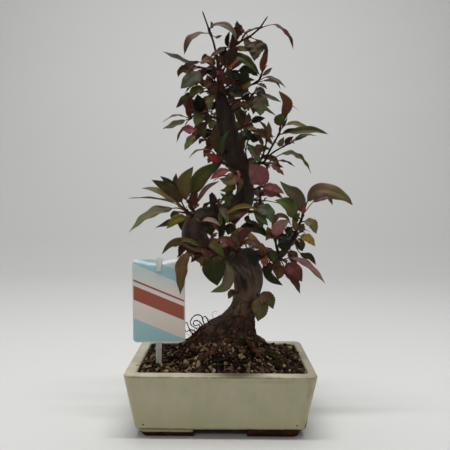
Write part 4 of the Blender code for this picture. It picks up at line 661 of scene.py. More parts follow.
class Graph:
    """A node tree, filled by one method."""

    def __init__(self, tree):
        self.tree = tree

    def node(self, kind, settings=None, sockets=None, output=0):
        """Adds a node: its settings first, then values or links for its sockets."""
        node = self.tree.nodes.new(kind)
        for key, value in (settings or {}).items():
            if key == "stops":
                set_stops(node.color_ramp, value)
            else:
                setattr(node, key, value)
        for key, value in (sockets or {}).items():
            if isinstance(value, Value):
                self.tree.links.new(value.socket, node.inputs[key])
            else:
                node.inputs[key].default_value = value
        return Value(self, node.outputs[output]) if len(node.outputs) else node

    def vector_maths(self, operation, vector, other):
        return self.node("ShaderNodeVectorMath", {"operation": operation}, {0: vector, 1: other})


def set_stops(ramp, stops):
    """Colours of a ramp: (place, (red, green, blue)) pairs."""
    while len(ramp.elements) < len(stops):
        ramp.elements.new(1)
    for element, (place, colour) in zip(ramp.elements, stops):
        element.position = place
        element.color = (*colour, 1)


class Finish(Graph):
    """A material in the making. Lengths in it are millimetres."""

    def __init__(self, name):
        self.material = bpy.data.materials.new(name)
        self.material.use_nodes = True
        super().__init__(self.material.node_tree)
        self.tree.nodes.clear()

    def place(self, stretch=(1, 1, 1), centre=(0, 0, 0)):
        """The point on the piece in millimetres from a centre, closer together where stretch is over 1."""
        point = self.node("ShaderNodeTexCoord").other("Object")
        moved = self.vector_maths("ADD", point, tuple(-c for c in centre))
        return self.vector_maths("MULTIPLY", moved, tuple(s / MM for s in stretch))

    def map(self):
        return self.node("ShaderNodeTexCoord").other("UV")

    def split(self, vector):
        x = self.node("ShaderNodeSeparateXYZ", sockets={0: vector})
        return x, x.other("Y"), x.other("Z")

    def attribute(self, name, output="Fac"):
        return self.node("ShaderNodeAttribute", {"attribute_name": name}).other(output)

    def noise(self, where, size, detail=3, rough=0.6, swirl=0):
        """Cloudy values about 0.5, in patches of that size."""
        sockets = {"Vector": where, "Scale": 1 / size, "Detail": detail, "Roughness": rough}
        return self.node("ShaderNodeTexNoise", None, {**sockets, "Distortion": swirl}).other("Fac")

    def cells(self, where, size, feature="F1"):
        """The distance from the middle or the edge of cells of that size."""
        sockets = {"Vector": where, "Scale": 1 / size}
        return self.node("ShaderNodeTexVoronoi", {"feature": feature}, sockets).other("Distance")

    def rise(self, value, low, high, to=1, start=0):
        """0 below low, up to a given value above high, smooth between them."""
        sockets = {"Value": value, "From Min": low, "From Max": high, "To Min": start, "To Max": to}
        return self.node("ShaderNodeMapRange", {"interpolation_type": "SMOOTHSTEP", "clamp": True}, sockets)

    def fall(self, value, low, high, to=1):
        """A given value below low, 0 above high, smooth between them."""
        return self.rise(value, low, high, 0, to)

    def ramp(self, value, stops):
        return self.node("ShaderNodeValToRGB", {"stops": stops}, {0: value})

    def blend(self, share, first, second):
        """Goes from the first colour to the second by the share."""
        sockets = {0: share, 6: with_alpha(first), 7: with_alpha(second)}
        return self.node("ShaderNodeMix", {"data_type": "RGBA"}, sockets, 2)

    def layers(self, colour, *layers):
        """Blends more colours over one, each by its share."""
        for share, tint in layers:
            colour = self.blend(share, colour, tint)
        return colour

    def scaled(self, colour, factor):
        """A colour made lighter or darker by a factor."""
        return self.node("ShaderNodeVectorMath", {"operation": "SCALE"}, {0: colour, "Scale": factor})

    def times(self, vector, shares):
        """A colour or a place with each of its three parts multiplied by a share."""
        return self.vector_maths("MULTIPLY", vector, shares)

    def bump(self, height, depth, under=None):
        """Relief of that many millimetres, on top of other relief if given."""
        sockets = {"Height": height, "Distance": depth * MM, "Strength": 1.0}
        if under is not None:
            sockets["Normal"] = under
        return self.node("ShaderNodeBump", None, sockets)

    def surface(self, colour, roughness, relief, **constants):
        """Ends the material in one Principled shader; constants are set on its own sockets."""
        sockets = {"Base Color": colour, "Roughness": roughness, "Normal": relief}
        for key, value in constants.items():
            sockets[key.replace("_", " ")] = value
        shader = self.node("ShaderNodeBsdfPrincipled", None, sockets)
        self.node("ShaderNodeOutputMaterial", None, {"Surface": shader})
        return self.material


def with_alpha(colour):
    return (*colour, 1) if isinstance(colour, tuple) else colour


# Finishes


def glaze_finish():
    """Cream-green glaze: brown where it runs thin on the edges, speckled, soiled inside the rim; painted
    shade under the lip, on the rim's right end and down the right-hand corners, and a painted highlight down
    the corners.
    """
    f = Finish("cream_glaze")
    centre = tuple(POT_MIDDLE)
    where = f.place(centre=centre)
    x, y, z = f.split(where)
    top, half_x, half_y = POT_HEIGHT, POT_WIDTH / 2, POT_DEPTH / 2
    clouds = f.noise(where, 34, 4, 0.55)
    runs = f.noise(f.place((1, 1, 0.16), centre), 7, 3, 0.5)
    grain = f.noise(where, 2.4, 4)
    wobble = f.noise(where, 6) * 1.6
    in_room = (half_x + ROOM_SHIFT - abs(x - ROOM_SHIFT)).least(half_y - abs(y))
    inset = (half_x - abs(x)).least(half_y - abs(y))
    on_rim = f.rise(z, top - 2, top - 0.6)
    rim_line = f.fall(abs(z + wobble * 0.4 - (top - 0.9)), 0.3, 1.5, 0.8) * f.fall(inset, 3, 5)
    # Painted shade: a brown line under the lip's overhang, stronger toward the right.
    lip = f.fall(abs(z + wobble - (top - 4.5)), 1, 3.2, 0.22) * f.fall(inset, 2, 4)
    foot_line = f.fall(z + wobble * 0.7, BODY_BOTTOM + 1.6, BODY_BOTTOM + 4.4, 0.7)
    top_edges = f.fall(abs(in_room + wobble - RIM_WIDTH), 0.4, 1.6, 0.55) * f.rise(z, top - 3, top - 1)
    # thin gathers the edges where the glaze runs thin and the painted shade under the lip.
    thin = rim_line.most(lip * f.rise(x, -60, 90)).most(foot_line).most(top_edges)
    worn = f.fall(abs(x - 18), 2, 42, 0.93) * f.rise(z, top - 2.5, top - 1)
    worn = worn * f.fall(y, RIM_WIDTH - half_y, RIM_WIDTH - half_y + 4)
    taper = (top - 5 - z) * (WALL_TAPER / (top - 5 - BODY_BOTTOM))
    from_corner = (half_x - abs(x)) + (half_y - abs(y)) - taper * 2
    # Painted highlight down the rounded vertical corners; on the right it also carries painted shade.
    corner = f.fall(from_corner, 6, 14, 0.6) * f.fall(z, top - 3, top - 1.5)
    specks = f.fall(f.cells(where, 5.2), 0.02, 0.075, 0.8) * f.rise(f.noise(where, 21, 2, 0.5), 0.48, 0.6)
    across, high = abs(x) - PIT_OFFSET, z - PIT_HEIGHT
    pits = f.fall((across * across + high * high) ** 0.5, 0.55, 1.1) * f.fall(y, -40, -30)
    dirt = f.rise(in_room + wobble * 0.5, RIM_WIDTH + 0.2, RIM_WIDTH + 1.2)
    dirt = dirt * f.fall(z + wobble * 0.4, 68.2, 69.8)
    dirt_colour = f.ramp(f.noise(where, 5, 4), [(0.3, (0.018, 0.011, 0.007)), (0.7, (0.085, 0.052, 0.03))])
    under = f.fall(z, BODY_BOTTOM + 0.2, BODY_BOTTOM + 1.3)
    clay = f.ramp(f.noise(where, 3, 4, 0.65), [(0.3, (0.052, 0.02, 0.011)), (0.7, (0.115, 0.048, 0.026))])
    creams = [(0.3, (0.415, 0.392, 0.24)), (0.5, (0.47, 0.436, 0.282)), (0.7, (0.505, 0.47, 0.325))]
    colour = f.layers(
        f.ramp(clouds, creams),
        (f.rise(runs, 0.42, 0.7, 0.25), (0.55, 0.51, 0.36)),
        (f.fall(z + clouds * 20, 18, 58, 0.4), (0.47, 0.435, 0.235)),
        # Brown of thin glaze on the edges, and painted shade under the lip.
        (thin * f.rise(f.noise(where, 13), 0.3, 0.62), (0.17, 0.105, 0.055)),
        (on_rim * 0.55 * f.rise(f.noise(where, 16, 4), 0.35, 0.65), (0.6, 0.53, 0.42)),
        # Painted shade: the rim's top darker toward its right end.
        (f.rise(x, 60, 96, 0.9) * on_rim, (0.31, 0.255, 0.165)),
        (worn, (0.105, 0.082, 0.042)),
        # Painted highlight down the corners.
        (corner, (0.46, 0.39, 0.225)),
        # Painted shade: brown streaks down the right-hand corners.
        (corner * f.rise(runs, 0.4, 0.62, 0.75) * f.rise(x, -20, 90), (0.22, 0.145, 0.075)),
        (specks, (0.1, 0.065, 0.035)),
        (pits, (0.02, 0.012, 0.008)),
        (dirt, dirt_colour),
        (under, clay),
    )
    rough = 0.24 + f.noise(where, 9) * 0.16 + dirt * 0.4 + under * 0.45
    relief = f.bump(grain * 0.35 + clouds * 1.4 + runs * 0.5 - specks * 0.5 - pits * 3, 0.32)
    relief = f.bump(f.noise(where, 0.7, 3, 0.7) * (under + dirt), 0.25, relief)
    return f.surface(colour, rough, relief, IOR=1.5, Specular_IOR_Level=0.42)


def clay_finish():
    """Bare red-brown clay of the feet, with a drip of glaze down the left one."""
    f = Finish("bare_clay")
    where = f.place()
    tone = f.noise(where, 7, 5, 0.65)
    reds = [(0.28, (0.024, 0.0066, 0.0033)), (0.55, (0.052, 0.0155, 0.0072)), (0.75, (0.086, 0.031, 0.017))]
    x, _, z = f.split(f.place(centre=tuple(POT_MIDDLE)))
    colour = f.layers(
        f.ramp(tone, reds),
        (f.rise(f.noise(where, 15), 0.55, 0.75, 0.1), (0.22, 0.17, 0.12)),
        (f.rise(z + tone * 1.5, 6.1, 7.1) * f.fall(x, -34, -24), (0.4, 0.36, 0.22)),
    )
    grit = f.noise(where, 0.5, 3, 0.7)
    return f.surface(colour, 0.78 + tone * 0.15, f.bump(grit + tone * 2, 0.18), Specular_IOR_Level=0.08)


def bark_finish():
    """Dark bark: painted shade near-black in the fissures and the neck's hollow, a painted highlight
    grey-brown on the ridges, red-brown in patches.
    """
    f = Finish("crabapple_bark")
    grain = f.attribute("grain", "Vector")
    relief = f.attribute("relief")
    where = f.place()
    height = f.split(where)[2]
    along = f.times(grain, (1, 1, 0.22))
    streaks = f.noise(along, 4.6, 4, 0.6, 0.4)
    flakes = f.noise(along, 0.8, 4, 0.7)
    pale = f.noise(along, 12, 4, 0.55)
    lower = f.fall(height, 222, 262)
    middle = f.fall(height, 176, 204) * f.rise(height, 98, 146)
    limb = f.rise(height, 184, 200) * lower
    pores = f.fall(f.cells(f.times(grain, (0.5, 0.5, 2.2)), 3.4), 0.1, 0.2, 0.65)
    moss = f.rise(f.noise(where, 11, 4), 0.58, 0.7, 0.5) * f.fall(height, 120, 175)
    earth = f.fall(height + f.noise(where, 14, 3, 0.5) * 44, 92, 150, 0.9)
    earth = earth * f.rise(f.noise(where, 6, 4), 0.25, 0.65)
    fibres = f.noise(f.times(grain, (1, 1, 0.1)), 2.4, 3, 0.6, 0.8)
    flare = f.fall(height, 126, 150) * f.rise(height, 86, 96)
    browns = [(0.28, (0.0095, 0.005, 0.0036)), (0.5, (0.019, 0.0108, 0.008)), (0.72, (0.041, 0.025, 0.0185))]
    body = f.layers(
        f.ramp(streaks, browns),
        (f.rise(f.noise(where, 19, 4), 0.5, 0.68, 0.5), (0.042, 0.019, 0.013)),
        (f.rise(pale, 0.34, 0.6, 0.85) * (0.08 + limb * 0.2 + middle * 0.72), (0.15, 0.092, 0.058)),
        (f.rise(f.noise(along, 15), 0.5, 0.62, 0.65) * middle, (0.072, 0.054, 0.05)),
        (f.rise(f.noise(along, 9, 3, 0.6, 0.5), 0.52, 0.64, 0.6) * middle, (0.052, 0.041, 0.02)),
        # Painted highlight: paler grey-brown on the ridges, strongest on the neck.
        (f.rise(relief, 0.6, 0.95, 0.65) * (0.15 + middle * 0.85), (0.165, 0.118, 0.084)),
        # Painted shade: near-black in the fissures and in the neck's hollow.
        (f.fall(relief, 0.0, 0.42, 0.8), (0.0065, 0.004, 0.0027)),
        (pores * f.rise(flakes, 0.45, 0.6) * (0.35 + lower * 0.65), (0.105, 0.076, 0.054)),
        (moss, (0.042, 0.04, 0.012)),
        (earth, f.ramp(flakes, [(0.3, (0.024, 0.011, 0.0058)), (0.7, (0.106, 0.048, 0.026))])),
        (f.rise(fibres, 0.5, 0.62, 0.7) * flare, (0.115, 0.052, 0.03)),
        (f.fall(fibres, 0.36, 0.46, 0.75) * flare, (0.0095, 0.0055, 0.0036)),
        (f.fall(height + streaks * 14, 88, 100, 0.75), (0.015, 0.0076, 0.0042)),
    )
    rough = 0.55 + streaks * 0.3 - limb * 0.22
    bumps = f.bump(streaks * 0.9 + flakes * 0.5 + pores * 0.5 + fibres * flare, 0.55)
    return f.surface(body, rough, bumps, Specular_IOR_Level=0.2)


def twig_finish():
    """Young bark: smooth, red-brown to grey, with pale pores."""
    f = Finish("young_bark")
    where = f.place()
    tone = f.noise(where, 6)
    pores = f.fall(f.cells(where, 1.7), 0.16, 0.28, 0.5)
    reds = [(0.3, (0.013, 0.0058, 0.005)), (0.55, (0.03, 0.0125, 0.009)), (0.75, (0.058, 0.034, 0.024))]
    colour = f.layers(
        f.ramp(tone, reds),
        (f.rise(f.noise(where, 28, 2, 0.5), 0.45, 0.62, 0.6), (0.07, 0.02, 0.015)),
        (pores, (0.11, 0.078, 0.055)),
    )
    relief = f.bump(pores + f.noise(where, 0.8), 0.22)
    return f.surface(colour, 0.5 + tone * 0.2, relief, Specular_IOR_Level=0.1)


def stalk_finish():
    """Leaf stalks and buds: dull crimson to bronze."""
    f = Finish("leaf_stalk")
    where = f.place()
    mottle = f.noise(where, 2.5)
    colour = f.layers(
        f.attribute("tone", "Color"),
        (0.7, (0.165, 0.022, 0.017)),
        (f.rise(mottle, 0.4, 0.7, 0.5), (0.036, 0.019, 0.009)),
    )
    relief = f.bump(f.noise(where, 0.6, 2, 0.5), 0.1)
    return f.surface(colour, 0.45 + mottle * 0.15, relief, Specular_IOR_Level=0.12)


def leaf_finish(name, underside=False):
    """A leaf's skin. Its map runs across the blade from 0 to 1 and from the stalk to the tip."""
    f = Finish(name)
    tone = f.attribute("tone", "Color")
    share = f.attribute("tone", "Alpha")
    veins = f.attribute("veins")
    across, along, _ = f.split(f.map())
    where = f.place()
    blotches = f.noise(where, 7, 4, 0.62)
    fine = f.noise(where, 1.3)
    netting = f.fall(f.cells(where, 1.15, "DISTANCE_TO_EDGE"), 0.0, 0.12)
    greener = f.rise(along * 0.5 + blotches * 0.5, 0.44, 0.66, 0.7)
    redder = f.rise(f.noise(where, 12, 3, 0.55), 0.5, 0.66, 0.5)
    margin = f.rise(abs(across - 0.5) * 2, 0.66, 1.0, 0.5) + f.rise(along, 0.8, 1.0, 0.25)
    body = tone
    for part, shares in ((greener, (0.72, 1.2, 0.8)), (redder, (1.4, 0.8, 0.85)), (margin, (1, 0.4, 0.45))):
        body = f.blend(part, body, f.times(body, shares))
    body = f.scaled(body, 0.62 + share * 0.7)
    if underside:
        body = f.scaled(f.blend(0.3, body, (0.125, 0.078, 0.054)), 1 + veins * 0.4)
        body = f.blend(veins * 0.3, body, (0.14, 0.055, 0.035))
        relief = f.bump(veins * 1.2 + netting * 0.3 + f.noise(where, 0.35, 2) * 0.25, 0.16)
        return f.surface(body, 0.6 + fine * 0.15, relief, Specular_IOR_Level=0.07)
    body = f.scaled(body, 1 + veins * 0.35)
    body = f.blend(veins * 0.3, body, f.times(body, (1.3, 0.9, 0.95)))
    body = f.blend(netting * 0.15, body, (0.008, 0.009, 0.004))
    relief = f.bump(0.5 - netting * 0.35 + fine * 0.5 + blotches * 0.7, 0.14)
    return f.surface(body, 0.32 + fine * 0.16 + veins * 0.08, relief, Specular_IOR_Level=0.13)


def soil_finish():
    """Damp dark crumbs with pale fibres, shinier where they are wet."""
    f = Finish("damp_potting_soil")
    where = f.place()
    crumb = f.noise(where, 2.6, 5, 0.68)
    dark, middle, light = (0.0024, 0.0013, 0.0006), (0.007, 0.0036, 0.0018), (0.024, 0.013, 0.0068)
    soil = f.ramp(crumb, [(0.3, dark), (0.52, middle), (0.74, light)])
    fibres = f.noise(f.times(where, (1, 0.35, 0.6)), 3.5, 2, 0.5, 1.4)
    colour = f.blend(f.fall(abs(fibres - 0.5), 0, 0.03, 0.5), soil, (0.05, 0.024, 0.013))
    rough = 0.92 - f.rise(f.noise(where, 17, 3, 0.55), 0.5, 0.7, 0.25)
    relief = f.bump(crumb * 2 + f.cells(where, 2.2) * 0.9, 1.1)
    return f.surface(colour, rough, relief, Specular_IOR_Level=0.06)


def pebble_finish(name, dark):
    """Grit and pebbles: each takes its colour from its own draw; dark is the share that is soil-stained."""
    f = Finish(name)
    where = f.place()
    light = 1 - dark
    stops = [
        (0, (0.008, 0.0042, 0.0022)),
        (dark, (0.026, 0.015, 0.008)),
        (dark + 0.1 * light, (0.11, 0.064, 0.034)),
        (dark + 0.35 * light, (0.062, 0.047, 0.035)),
        (dark + 0.55 * light, (0.215, 0.142, 0.078)),
        (dark + 0.8 * light, (0.31, 0.23, 0.135)),
        (1, (0.34, 0.27, 0.09)),
    ]
    mottle = f.noise(where, 1.4, 4, 0.65)
    body = f.scaled(f.ramp(f.attribute("draw"), stops), 0.55 + mottle * 0.9)
    body = f.blend(f.rise(f.noise(where, 2.8, 4), 0.48, 0.66, 0.7), body, (0.009, 0.0048, 0.0026))
    return f.surface(body, 0.6 + mottle * 0.25, f.bump(mottle, 0.35), Specular_IOR_Level=0.1)


def chip_finish():
    """Bark chips and bits of stem: grained red-brown, some bleached."""
    f = Finish("bark_chip")
    stops = [
        (0, (0.01, 0.0048, 0.0028)),
        (0.4, (0.028, 0.013, 0.0075)),
        (0.64, (0.078, 0.039, 0.021)),
        (0.82, (0.15, 0.095, 0.052)),
        (0.96, (0.28, 0.21, 0.125)),
    ]
    grain = f.noise(f.place(), 0.9, 4, 0.7, 0.8)
    body = f.scaled(f.ramp(f.attribute("draw"), stops), 0.5 + grain)
    return f.surface(body, 0.7, f.bump(grain, 0.4), Specular_IOR_Level=0.1)


def moss_finish():
    """Moss from dark to yellow-green, each tuft with its own draw."""
    f = Finish("moss")
    where = f.place()
    greens = [(0.2, (0.026, 0.029, 0.006)), (0.5, (0.07, 0.072, 0.016)), (0.8, (0.15, 0.138, 0.04))]
    body = f.ramp(f.attribute("draw") * 0.6 + f.noise(where, 6) * 0.4, greens)
    return f.surface(body, 0.8, f.bump(f.noise(where, 0.5, 2, 0.5), 0.15), Specular_IOR_Level=0.15)


def rootlet_finish():
    """Fine dry roots: red-brown, dark and bleached by turns."""
    f = Finish("fine_roots")
    where = f.place()
    browns = [(0.3, (0.015, 0.0064, 0.0038)), (0.48, (0.07, 0.028, 0.016)), (0.66, (0.15, 0.07, 0.039))]
    body = f.ramp(f.noise(where, 5, 4), browns)
    return f.surface(body, 0.7, f.bump(f.noise(where, 0.5, 2), 0.2), Specular_IOR_Level=0.1)


def card_finish():
    """Printed gloss card: slanted bands in teal, terracotta and greige, one of them hatched."""
    f = Finish("printed_card")
    across, up, _ = f.split(f.map())
    x = across * CARD_WIDTH
    z = up * CARD_HEIGHT
    where = f.place()
    paper = f.noise(where, 22, 3, 0.5)
    greiges = [(0.25, (0.8, 0.7, 0.615)), (0.62, (0.81, 0.745, 0.69)), (0.95, (0.64, 0.73, 0.72))]
    colour = f.ramp(up + paper * 0.12, greiges)
    slant = z + x * CARD_SLANT
    for middle, half, tint in CARD_BANDS:
        colour = f.blend(f.fall(abs(slant - middle), half - 0.15, half + 0.15), colour, tint)
    steep = x + z * 0.08
    hatch = steep.reckon("PINGPONG", steep, 0.9)
    border = x.least(CARD_WIDTH - x).least(z.least(CARD_HEIGHT - z))
    colour = f.layers(
        colour,
        (f.fall(hatch, 0.12, 0.3, 0.6) * f.fall(abs(slant - HATCHED_BAND), 7.8, 8.1), (0.29, 0.105, 0.07)),
        (f.fall(border, 1.2, 1.5, 0.75), (0.7, 0.7, 0.68)),
    )
    film = f.rise(up, 0.78, 0.86, 0.8) + 0.2
    constants = {"Specular_IOR_Level": 0.2, "Coat_IOR": 1.9, "Coat_Roughness": 0.1}
    rough = 0.2 + f.noise(where, 8, 4) * 0.1
    return f.surface(colour, rough, f.bump(paper, 0.1), Coat_Weight=film, **constants)


def stake_finish():
    """Clear moulded plastic, a little cloudy and scuffed."""
    f = Finish("clear_strip")
    haze = f.noise(f.place(), 9, 4)
    colour = f.ramp(haze, [(0.3, (0.86, 0.87, 0.84)), (0.7, (0.93, 0.94, 0.91))])
    return f.surface(colour, 0.14 + haze * 0.12, f.bump(haze, 0.02), Transmission_Weight=0.5, IOR=1.3)


def screen_finish():
    """Black plastic of the drainage screens."""
    f = Finish("screen_plastic")
    tone = f.noise(f.place(), 3)
    colour = f.ramp(tone, [(0.3, (0.012, 0.012, 0.012)), (0.7, (0.03, 0.028, 0.025))])
    return f.surface(colour, 0.45 + tone * 0.2, f.bump(tone, 0.1))


def sweep_finish():
    """Pale grey paper with painted shade: a little darker low on the wall than on the floor and high up."""
    f = Finish("studio_paper")
    where = f.place()
    height = f.split(where)[2]
    # Painted shade and light on the paper, by height.
    wall_shading = [(0, 0.71), (0.05, 0.62), (0.13, 0.62), (0.32, 0.69), (0.66, 0.8), (1, 0.86)]
    stops = [(at, (grey, grey, grey * 0.985)) for at, grey in wall_shading]
    colour = f.ramp(height * 0.001 + f.noise(where, 900, 2, 0.4) * 0.01, stops)
    return f.surface(colour, 0.85, f.bump(f.noise(where, 1.5, 2, 0.5), 0.02), Specular_IOR_Level=0.2)


# Paths and meshes


def seen(point):
    """The place of a point (x, z, y) of the front elevation."""
    x, z, y = point
    on_plane = np.array([x, 0, z])
    reach = (y - VIEW_POINT[1]) / -VIEW_POINT[1]
    return VIEW_POINT + (on_plane - VIEW_POINT) * reach


def smooth_path(points, shares):
    """Places and directions at the given shares of a smooth curve through the points."""
    points = np.asarray(points, float)
    steps = np.linalg.norm(np.diff(points[:, :3], axis=0), axis=1)
    knots = np.concatenate([[0], np.cumsum(steps)])
    slopes = np.gradient(points, knots, axis=0)
    where = np.asarray(shares) * knots[-1]
    first = np.clip(np.searchsorted(knots, where, side="right") - 1, 0, len(knots) - 2)
    span = (knots[first + 1] - knots[first])[:, None]
    t = (where[:, None] - knots[first][:, None]) / span
    places = (
        (2 * t**3 - 3 * t**2 + 1) * points[first]
        + (t**3 - 2 * t**2 + t) * span * slopes[first]
        + (3 * t**2 - 2 * t**3) * points[first + 1]
        + (t**3 - t**2) * span * slopes[first + 1]
    )
    ahead = (
        (6 * t**2 - 6 * t) * (points[first] - points[first + 1]) / span
        + (3 * t**2 - 4 * t + 1) * slopes[first]
        + (3 * t**2 - 2 * t) * slopes[first + 1]
    )
    return places, unit(ahead)


def unit(vectors):
    return vectors / np.maximum(np.linalg.norm(vectors, axis=-1, keepdims=True), 1e-9)


def clamped(value, low=0, high=1):
    return min(high, max(low, value))


def noise_at(x, y, z):
    """Smooth noise at a point, from about -1 to 1."""
    return noise.noise(Vector((x, y, z)))


def path_length(points):
    return float(np.linalg.norm(np.diff(np.asarray(points, float)[:, :3], axis=0), axis=1).sum())


def frames_along(ahead, start=(0.3, 0.2, 0.9)):
    """Two directions square to a path at each of its points, carried along it without a twist."""
    side = np.cross(ahead[0], start)
    if np.linalg.norm(side) < 0.1:
        side = np.cross(ahead[0], (1, 0, 0))
    sides = []
    for way in ahead:
        side = side - way * side.dot(way)
        side = side / np.linalg.norm(side)
        sides.append(side)
    sides = np.array(sides)
    return sides, np.cross(ahead, sides)


class Sheaf:
    """Vertices, faces and their marks, gathered into one piece."""

    def __init__(self):
        self.vertices = []
        self.faces = []
        self.face_finish = []
        self.maps = []
        self.tones = []
        self.veins = []
        self.count = 0

    def add(self, vertices, faces, finish, maps=None, tone=(0.1, 0.1, 0.1, 0.5), veins=None):
        """Adds a closed shape; finish is one material number, or one for each face."""
        size = len(vertices)
        self.vertices.append(vertices)
        self.faces += [[corner + self.count for corner in face] for face in faces]
        self.face_finish += finish if isinstance(finish, list) else [finish] * len(faces)
        self.maps.append(np.zeros((size, 2)) if maps is None else maps)
        self.tones.append(np.tile(np.array(tone, float), (size, 1)))
        self.veins.append(np.zeros(size) if veins is None else veins)
        self.count += size

    def add_tube(self, points, radii, sides, finish=0, tone=(0.1, 0.1, 0.1)):
        """Adds a round stem through the points, with a radius at each."""
        self.add(*tube(points, radii, sides), finish, tone=(*tone, 0.5))

    def mesh(self, name):
        return plain_mesh(name, np.concatenate(self.vertices).tolist(), self.faces)

    def piece(self, name, finishes):
        mesh = self.mesh(name)
        corner_map = mesh.uv_layers.new(name="map")
        corners = np.zeros(len(mesh.loops), np.int32)
        mesh.loops.foreach_get("vertex_index", corners)
        corner_map.data.foreach_set("uv", np.concatenate(self.maps)[corners].ravel())
        tone = mesh.attributes.new("tone", "FLOAT_COLOR", "POINT")
        tone.data.foreach_set("color", np.concatenate(self.tones).ravel())
        veins = mesh.attributes.new("veins", "FLOAT", "POINT")
        veins.data.foreach_set("value", np.concatenate(self.veins))
        mesh.polygons.foreach_set("material_index", self.face_finish)
        return show(name, mesh, finishes)


def plain_mesh(name, vertices, faces):
    mesh = bpy.data.meshes.new(name)
    mesh.from_pydata(vertices, [], faces)
    return mesh


def settled(name, bm):
    """The mesh of a finished edit."""
    mesh = bpy.data.meshes.new(name)
    bm.to_mesh(mesh)
    bm.free()
    return mesh


def show(name, mesh, finishes, sharp=50):
    """Puts a mesh laid out in millimetres where the frame has the pot."""
    mesh.transform(PLACE)
    mesh.shade_smooth()
    mesh.set_sharp_from_angle(angle=math.radians(sharp))
    for finish in finishes:
        mesh.materials.append(finish)
    return placed(name, mesh)


def placed(name, data):
    """A new object in the scene."""
    obj = bpy.data.objects.new(name, data)
    bpy.context.scene.collection.objects.link(obj)
    return obj


def evaluated(obj):
    """The mesh of an object with its modifiers applied."""
    graph = bpy.context.evaluated_depsgraph_get()
    return bpy.data.meshes.new_from_object(obj.evaluated_get(graph))


def discard(obj):
    mesh = obj.data
    bpy.data.objects.remove(obj)
    bpy.data.meshes.remove(mesh)


def ring_faces(rings, sides):
    """Faces between rings of equal count, with both ends capped."""
    faces = []
    for ring in range(rings - 1):
        for i in range(sides):
            j = (i + 1) % sides
            low, high = ring * sides, (ring + 1) * sides
            faces.append([low + i, low + j, high + j, high + i])
    top = (rings - 1) * sides
    return faces + [list(range(sides))[::-1], list(range(top, top + sides))]


def tube(points, radii, sides):
    """Vertices and faces of a round stem through the points with a radius at each."""
    points = np.asarray(points, float)
    _, ahead = smooth_path(points, np.linspace(0, 1, len(points)))
    side, other = (way[:, None, :] for way in frames_along(ahead))
    angles = np.linspace(0, 2 * np.pi, sides, endpoint=False)[None, :, None]
    spread = np.cos(angles) * side + np.sin(angles) * other
    vertices = points[:, None, :] + spread * np.asarray(radii)[:, None, None]
    return vertices.reshape(-1, 3), ring_faces(len(points), sides)


# Leaves and twigs


TWIG, STALK, LEAF_FACE, LEAF_BACK = range(4)
# Painted light and shade on the leaves: by the height of its tip, each leaf's colour is made lighter low down
# and darker high in the crown.
SHADING_HEIGHTS = [160, 200, 255, 330, 400]
SHADING_SHARES = [1.25, 1.25, 1.18, 0.88, 0.62]
BUD_OUTLINE = np.array([0.75, 1, 0.95, 0.7, 0.38, 0.06])
YOUNG_TONES = ("maroon", "crimson", "brown", "olive")
BACK_GIRTH = (1.6, 1)
TWIG_STEP = 1.6
NODE_SWELL = 0.34
NODE_REACH = 1.5
TWIG_END = 0.55

# A blade's fold, curl, number of waves and depth of its waves: the least, and how much more a draw adds
BLADE_DRAWS = [(0.16, 0.32), (0.08, 0.26), (1.8, 2), (0.07, 0.13)]
BLADE_LEAN = math.radians(10)
BLADE_TWIST = math.radians(40)
EDGE_FROM = 0.7
VEIN_SLANT = 1.15
VEIN_BREADTH = 0.14
MIDRIB_BREADTH = 0.17
VEIN_SINK = 0.16
BLADE_RISE = 0.08


def blade_outline(share):
    """Half the width of a spear-shaped, pointed blade, as a share of its widest."""
    return 0.5 * (share / 0.4) ** 0.68 * ((1 - share) / 0.6) ** 1.02


